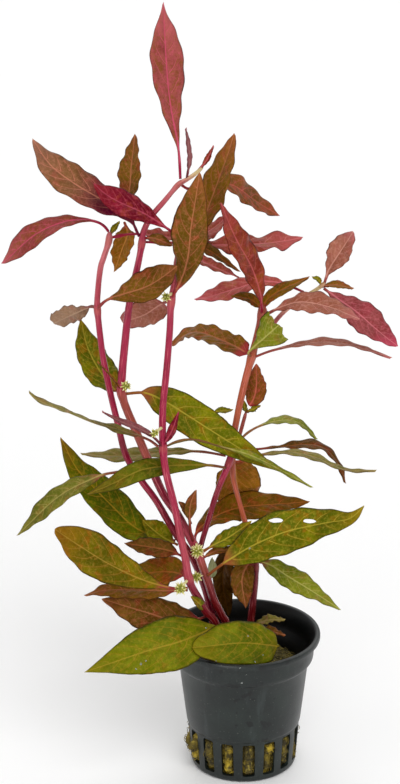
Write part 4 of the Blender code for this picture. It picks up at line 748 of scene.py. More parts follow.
@cache
def leaf_material(finish: LeafFinish) -> bpy.types.Material:
    """Leaf surface: mottled lamina, painted shade between the side veins, arched side veins, fine network,
    midrib, margin and tints.
    """
    build = ShaderBuild(finish.name, {
        "Specular IOR Level": 0.3, "Specular Tint": gloss_tint(finish.lamina),
    })
    along, reach, gap, mood, foot = (build.attribute(label) for label in LEAF_FACTS)
    pattern = build.add("ShaderNodeSeparateXYZ", {0: build.out("ShaderNodeUVMap", uv_map="veins")})
    wander = build.math("MULTIPLY_ADD", build.noise(210.0), 0.24, -0.12)
    phase = build.math("FRACT", build.math("ADD", pattern.outputs[1], wander))
    between = build.math("ABSOLUTE", build.math("MULTIPLY_ADD", phase, 2.0, -1.0))
    clouds = build.math("MULTIPLY_ADD", mood, 0.22, build.noise(95.0, 5.0))
    cells = {"Vector": build.here(), "Scale": 560.0}
    network = build.step(build.out("ShaderNodeTexVoronoi", cells, feature="DISTANCE_TO_EDGE"), 0.09, 0.01)
    vein = build.math("MULTIPLY", build.step(between, 0.9, 0.99), build.step(gap, 0.2, 2.4))
    strength = build.math("MULTIPLY_ADD", build.noise(130.0, 2.0), 1.2, finish.vein_strength - 0.6)
    spread = build.math("MULTIPLY_ADD", along, 0.2, reach)
    towards_tip = build.math("MULTIPLY_ADD", clouds, 0.2, along)
    colour = build.layers(
        finish.shade,
        (build.step(clouds, 0.5, 0.72), finish.lamina),
        (build.step(build.noise(260.0, 7.0), 0.66 - finish.blotch_share * 0.35, 0.66, 0.85), finish.blotch),
        (build.step(build.noise(900.0), 0.5, 0.66, 0.32), finish.vein),
        (build.step(build.noise(1400.0, 2.0), 0.5, 0.68, 0.5), finish.shade),
        # Painted shade in the middle between the side veins, where the blade is quilted.
        (build.step(between, 0.7, 0.0, 0.28), finish.shade),
        (build.step(between, 0.55, 0.9, 0.22), finish.blotch),
        (build.step(foot, 0.2, 0.8), finish.base),
        (build.step(towards_tip, 0.82, 1.16, 0.85), finish.tip),
        (build.math("MULTIPLY", network, finish.vein_strength * 0.2), finish.vein),
        (build.math("MULTIPLY", vein, strength), finish.vein),
        (build.step(spread, 0.48, 0.14, min(1.0, finish.vein_strength * 1.3)), finish.vein),
        (build.step(foot, 0.86, 1.0), finish.base),
        (build.step(gap, 0.42, 0.04, 0.8), finish.margin),
        (LEAF_DAMPNESS, BLACK),
    )
    relief = build.math("MULTIPLY", build.noise(2400.0, 2.0), 0.25)
    relief = build.math("MULTIPLY_ADD", vein, -0.5, relief)
    relief = build.math("MULTIPLY_ADD", network, -0.3, relief)
    sheen = build.math("MULTIPLY_ADD", build.noise(420.0), 0.34, finish.roughness - 0.2)
    return build.finish(colour, sheen, relief, 0.0002)


def stem_material(finish: StemFinish) -> bpy.types.Material:
    """Stem surface: glossy ribbed skin with pale and dark streaking along it, partly its own and partly a
    painted highlight and painted shade, and paler nodes.
    """
    build = ShaderBuild(finish.name, {
        "Specular IOR Level": 0.75, "Specular Tint": gloss_tint(finish.pale),
    })
    turn = build.math("MULTIPLY", build.attribute("around"), math.tau)
    lines = build.out("ShaderNodeCombineXYZ", {
        0: build.math("SINE", turn),
        1: build.math("COSINE", turn),
        2: build.math("MULTIPLY", build.attribute("travel"), 0.045),
    })
    streaks_and_painted_light = build.noise(3.4, 4.0, source=lines)
    colour = build.layers(
        build.attribute("skin", "Color"),
        # Pale and dark streaking: partly the skin's own, partly a painted highlight stripe and painted
        # shaded edges.
        (build.step(streaks_and_painted_light, 0.53, 0.72, 0.55), finish.pale),
        (build.step(streaks_and_painted_light, 0.46, 0.26, 0.7), finish.dark),
        (build.step(build.noise(170.0, 4.0), 0.52, 0.76, 0.25), finish.dark),
        (build.step(build.attribute("node_share"), 0.35, 1.0, 0.35), finish.node),
    )
    rough = build.math("MULTIPLY_ADD", build.noise(300.0, 2.0), 0.2, finish.roughness - 0.1)
    return build.finish(colour, rough, streaks_and_painted_light, 0.0003, 0.5)


def flower_material() -> bpy.types.Material:
    """Papery cream tepals, green between them and at their feet."""
    build = ShaderBuild("flower_head")
    reach = build.attribute("reach")
    colour = build.layers(
        tint(104, 108, 20),
        (build.step(reach, 0.6, 0.85), tint(168, 166, 60)),
        (build.step(reach, 0.85, 1.05), tint(226, 218, 158)),
        (build.step(build.noise(1400.0, 2.0), 0.5, 0.7, 0.45), tint(140, 136, 44)),
    )
    return build.finish(colour, 0.75, build.noise(3000.0, 2.0), strength=0.4)


def pot_material() -> bpy.types.Material:
    """Dark grey-green moulded plastic, faintly scuffed, with small dark marks, lighter runs of water
    lightened as painted sheen, and painted shade inside.
    """
    build = ShaderBuild("pot_plastic", {"Specular IOR Level": 0.4})
    clouds = build.noise(70.0, 4.0)
    wet_runs_and_sheen = build.noise(260.0, stretch=(1.0, 1.0, 0.18))
    colour = build.layers(
        tint(18, 24, 23),
        (build.step(clouds, 0.35, 0.7), tint(30, 38, 35)),
        (build.step(build.noise(1500.0, 2.0), 0.66, 0.74, 0.35), tint(104, 106, 98)),
        # Lighter runs where water ran down: real wet runs whose lighter colour is a painted sheen.
        (build.step(wet_runs_and_sheen, 0.55, 0.75, 0.35), tint(60, 68, 68)),
        (build.step(build.noise(230.0, 4.0), 0.6, 0.65, 0.8), tint(7, 10, 10)),
        # Painted shade: the pot's inner faces are painted near-black.
        (build.attribute("inside"), tint(7, 8, 8)),
    )
    rough = build.math("MULTIPLY_ADD", clouds, 0.18, 0.3)
    return build.finish(colour, rough, build.noise(2600.0), 0.00006, 0.35)


def wool_material() -> bpy.types.Material:
    """Yellow-brown fibre: bright and damp-stained, with painted shade darkening it towards the top, inside
    the pot.
    """
    build = ShaderBuild("mineral_wool")
    height = build.add("ShaderNodeSeparateXYZ", {0: build.here()}).outputs[2]
    colour = build.layers(
        tint(58, 48, 4),
        (build.step(build.noise(420.0, 5.0), 0.36, 0.62), tint(172, 146, 34)),
        (build.step(build.noise(110.0, 4.0), 0.44, 0.6, 0.75), tint(40, 34, 5)),
        # Painted shade on the wool inside the pot, darkening it towards its top.
        (build.step(height, 0.014, 0.03, 0.85), tint(58, 52, 14)),
        (build.step(build.noise(950.0), 0.56, 0.66, 0.3), tint(206, 184, 74)),
    )
    strands = build.noise(1500.0, 4.0, (1.0, 1.0, 0.35))
    return build.finish(colour, 0.85, strands, 0.0004)


def water_material() -> bpy.types.Material:
    """Clear water with a faint milky cloud."""
    build = ShaderBuild("water", {"Transmission Weight": 0.75, "IOR": 1.33})
    cloud = build.noise(1500.0, 2.0)
    return build.finish(build.layers(tint(240, 244, 240), (cloud, tint(214, 222, 212))), 0.04)


class BladePoint(NamedTuple):
    """Upper and lower point of a blade, with its place in the vein pattern and its facts.

    The facts are its share of the midrib, its distance from it and its distance
    from the margin.
    """

    high: Vector
    low: Vector
    pattern: tuple[float, float]
    facts: tuple[float, float, float]


@dataclass
class LeafBlade:
    """Fine closed mesh of one leaf, with its side veins, waves and thin margins."""

    name: str
    leaf: Leaf
    seed: int
    start: float = LEAF_BASE_OVERLAP
    vein_count: int = 8
    foot_reach: float = 0.16
    vein_lean: float = 0.9
    quilting: float = 0.28

    def midrib(self) -> list[Vector]:
        """Points along the midrib, its tip reaching out from its base in depth."""
        base = self.leaf.route[0].depth
        last = len(self.leaf.route) - 1
        points = []
        for index, spot in enumerate(self.leaf.route):
            reach = 1 + (LEAF_REACH - 1) * index / last
            points.append(place(Spot(spot.column, spot.row, base + (spot.depth - base) * reach)))
        return smooth_route(points, MIDRIB_STEP)

    def frames(self, route: list[Vector]) -> list[tuple[Vector, Vector]]:
        """Across and outward unit directions of the blade at each point of its midrib."""
        leaf = self.leaf
        upward = (route[-1] - route[0]).normalized().cross(TO_VIEWER)
        flip = -1.0 if upward.z + 0.1 * upward.x < 0 else 1.0
        frames = []
        last = len(route) - 1
        for index in range(len(route)):
            tangent = (route[min(index + 2, last)] - route[max(index - 2, 0)]).normalized()
            facing = (TO_VIEWER - tangent * TO_VIEWER.dot(tangent)).normalized()
            lifted = tangent.cross(facing).normalized() * flip
            turn = math.radians(leaf.turn + leaf.twist * index / last)
            outward = facing * math.cos(turn) + lifted * math.sin(turn)
            frames.append((tangent.cross(outward).normalized(), outward))
        return frames

    def half_width(self, share: float) -> float:
        """Half width of the leaf at a share of its length, petiole first."""
        leaf = self.leaf
        along = (share - leaf.petiole) / (1 - leaf.petiole)
        if along <= 0:
            return PETIOLE_RADIUS
        power = math.log(0.5) / math.log(leaf.widest)
        swell = math.sin(math.pi * along ** power) ** leaf.fullness if along < 1 else 0.0
        return max(leaf.width / 2 * swell, PETIOLE_RADIUS * (1 - along))

    def wobble(self, share: float, side: float) -> float:
        """Small unevenness of the outline, different on each side of each leaf."""
        spot = Vector((share * 5.0, side * 3.0 + self.seed * 1.7, self.seed * 0.61))
        return noise.noise(spot) * 0.09 + noise.noise(spot * 4) * 0.032

    def lines(self) -> list[list[BladePoint]]:
        """Points across the blade, row by row from the petiole to the tip."""
        leaf = self.leaf
        route = self.midrib()
        frames = self.frames(route)
        last = len(route) - 1
        length = MIDRIB_STEP * last
        first = self.start / length
        rows = max(18, min(72, round(length / LEAF_ROW_STEP)))
        count = max(4, min(self.vein_count, round(length / VEIN_SPACING)))
        lines = []
        for row in range(rows + 1):
            share = first + (leaf.cut - first) * row / rows
            along = max(0.0, (share - leaf.petiole) / (1 - leaf.petiole))
            half = self.half_width(share)
            blade = min(1.0, half / (0.25 * leaf.width))
            rise = math.sin(math.radians(leaf.fold)) * half * blade
            wave = 1.1 * leaf.ripple * math.sin(share * 15.0) * blade
            flutter = 0.6 * leaf.ripple * math.sin(share * 41.0 + self.seed) * blade
            thick = BLADE_THICKNESS / 2 * blade + PETIOLE_RADIUS * (1 - blade)
            line = []
            for column in range(-LEAF_COLUMNS, LEAF_COLUMNS + 1):
                side = column / LEAF_COLUMNS
                torn = 0.0
                if leaf.cut < 1.0 and row > rows * 0.6:
                    torn = 0.05 * noise.noise(Vector((side * 5, self.seed, 0.3))) * (row / rows - 0.6) / 0.4
                spot = min(max(share + torn, 0.0), 1.0) * last
                index = min(int(spot), last - 1)
                across, outward = frames[min(index + 1, last)]
                reach = half * side * (1 + self.wobble(share, math.copysign(1.0, side)) * abs(side) * blade)
                lean = self.vein_lean * half / length * (abs(side) + 1.6 * abs(side) ** 2.4)
                phase = count * (along - lean) + 0.5 * (side > 0)
                edge = max(0.0, 1 - side ** 2)
                quilt = math.sin(math.pi * phase) ** 2 * self.quilting * blade * edge
                quilt *= abs(side) ** 0.5 * 1.6
                lift = rise * abs(side) - wave * side + flutter * side * abs(side) * 2 + quilt
                groove = 0.22 * blade * math.exp(-(reach / 0.5) ** 2)
                rim = edge ** (0.5 if blade < 1 else 0.3)
                rib = 0.4 * blade * math.exp(-(reach / 0.45) ** 2) * math.sqrt(max(0.0, 1 - along))
                centre = route[index].lerp(route[index + 1], spot - index) + across * reach + outward * lift
                line.append(BladePoint(
                    centre + outward * (thick * rim - groove), centre - outward * (thick * rim + rib),
                    ((side + 1) / 2, phase), (share, abs(reach), half - abs(reach) if blade > 0.4 else 1.0),
                ))
            lines.append(line)
        return lines

    def build(self, top: bpy.types.Material, under: bpy.types.Material) -> bpy.types.Object:
        """Makes the leaf.

        Args:
            top: Material of the leaf's upper face.
            under: Material of its lower face.

        Returns:
            The leaf's object.
        """
        leaf = self.leaf
        drawing = bmesh.new()
        layers = [drawing.verts.layers.float.new(label) for label in LEAF_FACTS]
        veins = drawing.loops.layers.uv.new("veins")
        mood = 0.5 + 0.9 * noise.noise(Vector((self.seed * 2.7, 0.4, 8.1)))
        patterns = {}

        def draw(where: Vector, pattern: tuple[float, float], facts: Sequence[float]) -> bmesh.types.BMVert:
            """Draws one point with its place in the vein pattern and its facts."""
            vertex = drawing.verts.new(where * MM)
            foot = 1 - smoothstep(leaf.petiole * 0.8, leaf.petiole + self.foot_reach, facts[0])
            for layer, value in zip(layers, (*facts, mood, foot)):
                vertex[layer] = value
            patterns[vertex] = pattern
            return vertex

        lines = self.lines()
        tip = lines.pop()[LEAF_COLUMNS] if leaf.cut == 1.0 else None
        rings = []
        for line in lines:
            upper = [draw(point.high, point.pattern, point.facts) for point in line]
            inner = [draw(point.low, point.pattern, point.facts) for point in line[1:-1]]
            rings.append((upper, [upper[0], *inner, upper[-1]]))
        if tip:
            point = draw(tip.high, (0.5, tip.pattern[1]), (1.0, 0.0, 0.2))
            ring = [point] * (2 * LEAF_COLUMNS + 1)
            rings.append((ring, ring))
        faces = []
        for column in range(2 * LEAF_COLUMNS):
            for (upper, lower), (next_upper, next_lower) in zip(rings, rings[1:]):
                faces.append((0, upper[column:column + 2], next_upper[column:column + 2]))
                faces.append((1, lower[column:column + 2], next_lower[column:column + 2]))
            for upper, lower in rings[:1] if tip else (rings[0], rings[-1]):
                faces.append((1, upper[column:column + 2], lower[column:column + 2]))
        for slot, near, far in faces:
            corners = tuple(dict.fromkeys((*near, *reversed(far))))
            if len(corners) > 2:
                drawing.faces.new(corners).material_index = slot
        bmesh.ops.recalc_face_normals(drawing, faces=drawing.faces)
        for face in drawing.faces:
            for loop in face.loops:
                loop[veins].uv = patterns[loop.vert]
        made = drawn_object(self.name, drawing, [top, under])
        made.data.shade_smooth()
        return made


class Hole(NamedTuple):
    """Hole through a leaf: its middle and half sizes as pixels of the photograph."""

    column: float
    row: float
    half_length: float
    half_width: float
    lean: float


def pierce(leaf: bpy.types.Object, depth: float, holes: tuple[Hole, ...]) -> bpy.types.Object:
    """Cuts ragged holes through a leaf along the line of sight.

    Args:
        leaf: The finished leaf, which is removed.
        depth: Depth of the leaf near its holes, in mm.
        holes: The holes.

    Returns:
        The leaf with its holes.
    """
    drawing = bmesh.new()
    for number, hole in enumerate(holes):
        rings = ([], [])
        for step in range(HOLE_SIDES):
            angle = math.tau * step / HOLE_SIDES
            ragged = 1 + 0.22 * noise.noise(Vector((math.cos(angle), math.sin(angle), number * 3.0)) * 1.6)
            across = hole.half_length * math.cos(angle) * ragged
            upward = hole.half_width * math.sin(angle) * ragged
            column = hole.column + across * math.cos(hole.lean) + upward * math.sin(hole.lean)
            row = hole.row + across * math.sin(hole.lean) - upward * math.cos(hole.lean)
            middle = place(Spot(column, row, depth))
            for ring, reach in zip(rings, (-HOLE_REACH, HOLE_REACH)):
                ring.append(drawing.verts.new((middle + TO_VIEWER * reach) * MM))
        close_rings(drawing, rings)
    before = KDTree(len(leaf.data.vertices))
    for vertex in leaf.data.vertices:
        before.insert(vertex.co, vertex.index)
    before.balance()
    facts = {label: [entry.value for entry in leaf.data.attributes[label].data] for label in LEAF_FACTS}
    name = leaf.name
    leaf.name = "leaf_before_holes"
    made = cut_away(leaf, drawn_object("holes", drawing), name, list(leaf.data.materials))
    for vertex in made.data.vertices:
        _, nearest, distance = before.find(vertex.co)
        for label in LEAF_FACTS:
            made.data.attributes[label].data[vertex.index].value = facts[label][nearest]
        if distance > HOLE_EDGE:
            made.data.attributes["gap"].data[vertex.index].value = HOLE_MARGIN
    return made


def stem_tree() -> bpy.types.NodeTree:
    """Tree that follows a curve with a ribbed tube, keeping where each point is on it."""
    build = GeometryBuild("stem", Sides=("Int", STEM_SIDES), Rib=("Float", 0.03))
    travel = build.math("MULTIPLY", build.add("GeometryNodeSplineParameter").outputs["Length"], 1000.0)
    kept = build.out("GeometryNodeStoreNamedAttribute", {
        "Geometry": build.inputs["Geometry"], "Name": "travel", "Value": travel,
    })
    ring = build.out("GeometryNodeCurvePrimitiveCircle", {
        "Resolution": build.inputs["Sides"], "Radius": 1.0,
    })
    factor = build.out("GeometryNodeSplineParameter")
    marked = build.out("GeometryNodeStoreNamedAttribute", {
        "Geometry": ring, "Name": "around", "Value": factor,
    })
    wave = build.math("SINE", build.math("MULTIPLY", factor, math.tau * 5))
    swell = build.math("MULTIPLY_ADD", wave, build.inputs["Rib"], 1.0)
    scaled = build.out("ShaderNodeVectorMath", {
        0: build.out("GeometryNodeInputPosition"), "Scale": swell,
    }, operation="SCALE")
    ribbed = build.out("GeometryNodeSetPosition", {"Geometry": marked, "Position": scaled})
    tube = build.add("GeometryNodeCurveToMesh", {"Curve": kept, "Profile Curve": ribbed, "Fill Caps": True})
    if "Scale" in tube.inputs:
        build.feed(tube.inputs["Scale"], build.out("GeometryNodeInputRadius"))
    return build.end(build.out("GeometryNodeSetShadeSmooth", {"Geometry": tube.outputs[0]}))


class Zone(NamedTuple):
    """Row of the photograph at which a stem's skin has a colour."""

    row: float
    skin: Skin


STEM_ZONES: dict[str, tuple[Zone, ...]] = {
    "stem_left": (Zone(246, Skin.PINK), Zone(292, Skin.ROSE), Zone(340, Skin.CRIMSON),
        Zone(420, Skin.CRIMSON), Zone(446, Skin.WINE), Zone(474, Skin.CRIMSON), Zone(520, Skin.WINE),
        Zone(600, Skin.WINE)),
    "stem_centre": (Zone(172, Skin.CREAM), Zone(184, Skin.PINK), Zone(215, Skin.ROSE),
        Zone(262, Skin.CRIMSON), Zone(384, Skin.CRIMSON), Zone(400, Skin.RUST), Zone(452, Skin.RUST),
        Zone(476, Skin.WINE), Zone(515, Skin.WINE), Zone(532, Skin.ROSE), Zone(552, Skin.ROSE),
        Zone(566, Skin.RUST), Zone(592, Skin.DARK_WINE)),
    "stem_front": (Zone(240, Skin.PINK), Zone(300, Skin.ROSE), Zone(330, Skin.CRIMSON),
        Zone(505, Skin.CRIMSON), Zone(540, Skin.ROSE), Zone(574, Skin.ROSE), Zone(592, Skin.WINE),
        Zone(620, Skin.DARK_WINE)),
    "stem_right": (Zone(314, Skin.RUST), Zone(350, Skin.SALMON), Zone(420, Skin.SALMON),
        Zone(446, Skin.CRIMSON), Zone(472, Skin.CRIMSON), Zone(492, Skin.WINE)),
    "shoot_right": (Zone(294, Skin.CREAM), Zone(308, Skin.SHELL), Zone(318, Skin.PINK),
        Zone(336, Skin.ROSE)),
    "stem_rear": (Zone(414, Skin.RUST), Zone(470, Skin.SALMON), Zone(540, Skin.SALMON),
        Zone(562, Skin.WINE), Zone(620, Skin.DARK_WINE)),
}


@dataclass
class StemTube:
    """One stem, ribbed along its length and swollen at its nodes."""

    name: str
    stem: Stem
    zones: tuple[Zone, ...]
    seed: int
    node_swell: float = 0.25
    node_reach: float = 3.6

    def route(self) -> list[Vector]:
        """Smooth route, carried down into the wool where the stem is rooted."""
        points = [place(spot) for spot in self.stem.route]
        if self.stem.rooted:
            lean = (points[0] - points[1]).normalized() + Vector((0, 0, -1.5))
            depth = points[0].z - (WOOL_TOP - ROOT_DEPTH)
            points = [points[0] - lean * (depth / lean.z), *points]
        return smooth_route(points, STEM_RUNG)

    @staticmethod
    def gap(point: Vector, nodes: list[Vector]) -> float:
        """Distance of a point from the nearest node, in mm."""
        return min(((point - node).length for node in nodes), default=FAR)

    def build(self, tree: bpy.types.NodeTree, material: bpy.types.Material) -> bpy.types.Object:
        """Makes the stem along its route.

        Args:
            tree: The tube's Geometry Nodes tree.
            material: The stem's material.

        Returns:
            The stem's object.
        """
        route = self.route()
        stem = self.stem
        nodes = [place(node) for node in stem.nodes]
        data = bpy.data.curves.new(self.name, "CURVE")
        data.dimensions = "3D"
        spline = data.splines.new("POLY")
        spline.points.add(len(route) - 1)
        for index, point in enumerate(route):
            share = index / (len(route) - 1)
            radius = stem.foot_radius + (stem.tip_radius - stem.foot_radius) * share ** stem.taper
            radius *= 1 + self.node_swell * smoothstep(self.node_reach, 0.0, self.gap(point, nodes))
            radius *= 1 + 0.05 * noise.noise(Vector((index * 0.09, self.seed, 0)))
            end = min(1.0, 0.45 + (len(route) - 1 - index) * STEM_RUNG / 2.0)
            spline.points[index].co = (*(point * MM), 1.0)
            spline.points[index].radius = radius * end * MM
        made = run_tree(solid_object(f"{self.name}_path", data), tree, {}, self.name, material)
        self.mark(made.data, nodes)
        return made

    def skin_at(self, row: float) -> Colour:
        """Colour of the skin at a row of the photograph, between the zones around it."""
        before = self.zones[0]
        for zone in self.zones:
            if zone.row > row:
                share = smoothstep(before.row, zone.row, row) if zone is not before else 0.0
                pairs = zip(before.skin.value, zone.skin.value)
                return tuple(first * (1 - share) + second * share for first, second in pairs)
            before = zone
        return before.skin.value

    def mark(self, mesh: bpy.types.Mesh, nodes: list[Vector]) -> None:
        """Keeps on the mesh how near each point is to a node, and the colour of its skin."""
        share = mesh.attributes.new("node_share", "FLOAT", "POINT")
        skin = mesh.attributes.new("skin", "FLOAT_COLOR", "POINT")
        for index, vertex in enumerate(mesh.vertices):
            point = vertex.co / MM
            share.data[index].value = 1 - smoothstep(0.8, 3.4, self.gap(point, nodes))
            skin.data[index].color = (*self.skin_at(row_of(point)), 1.0)


def flower_tree() -> bpy.types.NodeTree:
    """Tree that sets a pointed tepal outwards on many points of a ball, round a green core."""
    build = GeometryBuild("flower_head", Length=("Float", 0.0016), Width=("Float", 0.00042), Seed=("Int", 3))
    ball, length, width, seed = (build.inputs[label] for label in ("Geometry", "Length", "Width", "Seed"))
    spread = build.add("GeometryNodeDistributePointsOnFaces", {
        "Mesh": ball, "Distance Min": 0.0005, "Density Max": 6000000.0, "Seed": seed,
    }, distribute_method="POISSON")
    tepal = build.out("GeometryNodeMeshCone", {
        "Vertices": 5, "Side Segments": 2, "Radius Top": 0.00004, "Radius Bottom": width, "Depth": length,
    })
    size = build.add("FunctionNodeRandomValue", {2: 0.7, 3: 1.2, "Seed": seed}, data_type="FLOAT").outputs[1]
    placed = build.out("GeometryNodeInstanceOnPoints", {
        "Points": spread.outputs["Points"], "Instance": tepal, "Rotation": spread.outputs["Rotation"],
        "Scale": size,
    })
    return build.end(build.join(placed, ball))


@dataclass
class FlowerHead:
    """Round head of papery tepals on a short stalk from its stem."""

    name: str
    flower: Flower
    seed: int
    ball_share: float = 0.62
    tepal_share: float = 0.72
    tepal_width: float = 0.46
    stalk_radii: tuple[float, float] = (0.55, 0.42)

    def build(self, tree: bpy.types.NodeTree, material: bpy.types.Material,
              stems: list[list[Vector]]) -> bpy.types.Object:
        """Makes the head with its stalk.

        Args:
            tree: The flower head's Geometry Nodes tree.
            material: Its material.
            stems: Routes of the stems, the nearest of which carries it.

        Returns:
            The flower head's object.
        """
        centre = place(self.flower.spot)
        radius = self.flower.radius
        drawing = bmesh.new()
        bmesh.ops.create_icosphere(drawing, subdivisions=3, radius=radius * self.ball_share * MM)
        bmesh.ops.translate(drawing, vec=centre * MM, verts=drawing.verts)
        length = radius * self.tepal_share * MM
        values = {"Length": length, "Width": self.tepal_width * MM, "Seed": self.seed}
        head = run_tree(drawn_object(f"{self.name}_core", drawing), tree, values, self.name, material)
        foot = min((point for route in stems for point in route), key=lambda point: (point - centre).length)
        self.add_stalk(head.data, foot, centre)
        reach = head.data.attributes.new("reach", "FLOAT", "POINT")
        for index, vertex in enumerate(head.data.vertices):
            reach.data[index].value = (vertex.co / MM - centre).length / radius
        return head

    def add_stalk(self, mesh: bpy.types.Mesh, foot: Vector, centre: Vector) -> None:
        """Adds the tapered stalk from the middle of the stem to the head."""
        drawing = bmesh.new()
        drawing.from_mesh(mesh)
        axis = centre - foot
        foot_radius, head_radius = self.stalk_radii
        verts = bmesh.ops.create_cone(
            drawing, cap_ends=True, segments=8, radius1=foot_radius * MM, radius2=head_radius * MM,
            depth=axis.length * MM,
        )["verts"]
        turn = axis.to_track_quat("Z", "Y").to_matrix()
        bmesh.ops.rotate(drawing, cent=Vector(), matrix=turn, verts=verts)
        bmesh.ops.translate(drawing, vec=(foot + centre) / 2 * MM, verts=verts)
        drawing.to_mesh(mesh)
        drawing.free()


@dataclass
class NetPot:
    """Turned pot with a rolled rim, a stepped collar and a row of upright slots."""

    rim_radius: float = 27.5
    lip_radius: float = 26.7
    height: float = 51.0
    rim_depth: float = 2.2
    collar_radius: float = 25.4
    collar_foot: float = 41.5
    body_radius: float = 23.4
    waist_radius: float = 20.5
    waist: float = 16.5
    foot_radius: float = 17.4
    foot_rounding: float = 1.6
    wall: float = 1.1
    floor: float = 1.4
    sides: int = 160
    slot_count: int = 16
    slot_width: float = 4.4
    slot_foot: float = 2.6
    slot_top: float = 15.6
    slot_corner: float = 0.7
    slot_turn: float = math.radians(5.5)
    cut_from: float = 14.0
    cut_to: float = 26.0

    def outline(self) -> list[tuple[float, float]]:
        """Half section as radius and height, up the outside and down the inside."""
        foot, waist, body, collar = self.foot_radius, self.waist_radius, self.body_radius, self.collar_radius
        rim, lip, step = self.rim_radius, self.lip_radius, self.collar_foot
        top, under = self.height, self.height - self.rim_depth
        rounding = []
        for number in range(7):
            angle = math.radians(15 * number)
            rounding.append((
                foot + self.foot_rounding * math.sin(angle), self.foot_rounding * (1 - math.cos(angle)),
            ))
        return [
            (0.0, 0.0), (foot * 0.5, 0.0), *rounding, (19.3, 5.0), (19.6, 9.0), (20.0, 13.5),
            (waist - 0.55, self.waist - 0.3), (waist - 0.4, self.waist + 0.1),
            (waist - 0.05, self.waist + 0.5), (waist + 0.1, self.waist + 1.1),
            (21.2, 22.5), (21.9, 28.5), (22.6, 34.5), (body - 0.15, step - 1.6), (body + 0.1, step - 0.9),
            (collar - 0.8, step - 0.2), (collar - 0.45, step + 0.3), (collar - 0.25, step + 1.2),
            (collar - 0.1, 45.0), (collar, under - 0.9), (collar + 0.15, under - 0.35),
            (collar + 0.6, under - 0.08), (rim - 0.6, under), (rim - 0.15, under + 0.15),
            (rim, under + 0.6), (rim, top - 0.75), (rim - 0.2, top - 0.25), (lip, top),
            (lip - 0.5, top - 0.02), (lip - 0.95, top - 0.25), (lip - 1.2, top - 0.7),
            (collar - self.wall, under - 0.8), (collar - self.wall - 0.2, 45.0),
            (collar - self.wall - 0.5, step + 0.6), (body - self.wall, step - 1.0), (21.5, 34.5),
            (20.1, 22.5), (waist - self.wall, self.waist + 0.8), (18.9, 12.0), (18.3, 5.0),
            (foot - 0.2, self.floor), (foot * 0.5, self.floor), (0.0, self.floor),
        ]

    def slot_cutter(self) -> bpy.types.Object:
        """Round-cornered upright blocks, one through the wall at each slot."""
        drawing = bmesh.new()
        corner = self.slot_corner
        wide = self.slot_width / 2 - corner
        tall = (self.slot_top - self.slot_foot) / 2 - corner
        middle = (self.slot_foot + self.slot_top) / 2
        outline = []
        for side_x, side_z, turn in ((1, 1, 0), (-1, 1, 90), (-1, -1, 180), (1, -1, 270)):
            for step in range(4):
                spin = math.radians(turn + 30 * step)
                outline.append((
                    side_x * wide + corner * math.cos(spin),
                    middle + side_z * tall + corner * math.sin(spin),
                ))
        for number in range(self.slot_count):
            angle = self.slot_turn + math.tau * number / self.slot_count
            outward = Vector((math.sin(angle), -math.cos(angle), 0.0))
            across = Vector((math.cos(angle), math.sin(angle), 0.0))
            close_rings(drawing, [
                [
                    drawing.verts.new((outward * reach + across * x + Vector((0, 0, z))) * MM)
                    for x, z in outline
                ]
                for reach in (self.cut_from, self.cut_to)
            ])
        return drawn_object("slots", drawing)

    def build(self, material: bpy.types.Material) -> bpy.types.Object:
        """Makes the pot.

        Args:
            material: The pot's plastic.

        Returns:
            The pot's object, with its slots cut through.
        """
        drawing = bmesh.new()
        rings = []
        for radius, height in self.outline():
            around = outwards(self.sides if radius else 1)
            spots = [direction * radius + Vector((0, 0, height)) for direction in around]
            rings.append([drawing.verts.new(spot * MM) for spot in spots])
        close_rings(drawing, rings)
        made = cut_away(drawn_object("pot_raw", drawing), self.slot_cutter(), "pot", [material])
        made.data.shade_smooth()
        made.data.set_sharp_from_angle(angle=math.radians(38))
        # Inner faces, which the pot's material paints near-black as painted shade.
        inside = made.data.attributes.new("inside", "FLOAT", "FACE")
        for polygon in made.data.polygons:
            outward = Vector((polygon.center.x, polygon.center.y, 0.0))
            inside.data[polygon.index].value = float(polygon.normal.dot(outward) < -0.2 * outward.length)
        return made


def fibre_tree() -> bpy.types.NodeTree:
    """Tree that sets short bent fibres on a surface, lying over at random."""
    build = GeometryBuild(
        "wool_fibres", Density=("Float", 500000.0), Length=("Float", 0.003), Thickness=("Float", 0.00011),
        Seed=("Int", 11),
    )
    plug, length, seed = (build.inputs[label] for label in ("Geometry", "Length", "Seed"))
    spread = build.add("GeometryNodeDistributePointsOnFaces", {
        "Mesh": plug, "Density": build.inputs["Density"], "Seed": seed,
    })
    bow = build.out("GeometryNodeCurveQuadraticBezier", {
        "Resolution": 5,
        "Start": (-0.4, 0.0, -0.12), "Middle": (0.05, 0.18, 0.42), "End": (0.55, -0.1, 0.04),
    })
    scale = build.out("ShaderNodeCombineXYZ", {0: length, 1: length, 2: length})
    thread = build.out("GeometryNodeCurveToMesh", {
        "Curve": build.out("GeometryNodeTransform", {"Geometry": bow, "Scale": scale}),
        "Profile Curve": build.out("GeometryNodeCurvePrimitiveCircle", {
            "Resolution": 4, "Radius": build.inputs["Thickness"],
        }),
        "Fill Caps": True,
    })
    spin = build.out("FunctionNodeRandomValue", {
        0: (-0.5, -0.5, -3.14), 1: (0.5, 0.5, 3.14), "Seed": seed,
    }, data_type="FLOAT_VECTOR")
    lying = build.out("FunctionNodeRotateRotation", {
        0: spread.outputs["Rotation"], 1: build.out("FunctionNodeEulerToRotation", {0: spin}),
    }, rotation_space="LOCAL")
    placed = build.out("GeometryNodeInstanceOnPoints", {
        "Points": spread.outputs["Points"], "Instance": thread, "Rotation": lying,
    })
    return build.end(build.join(placed, plug))


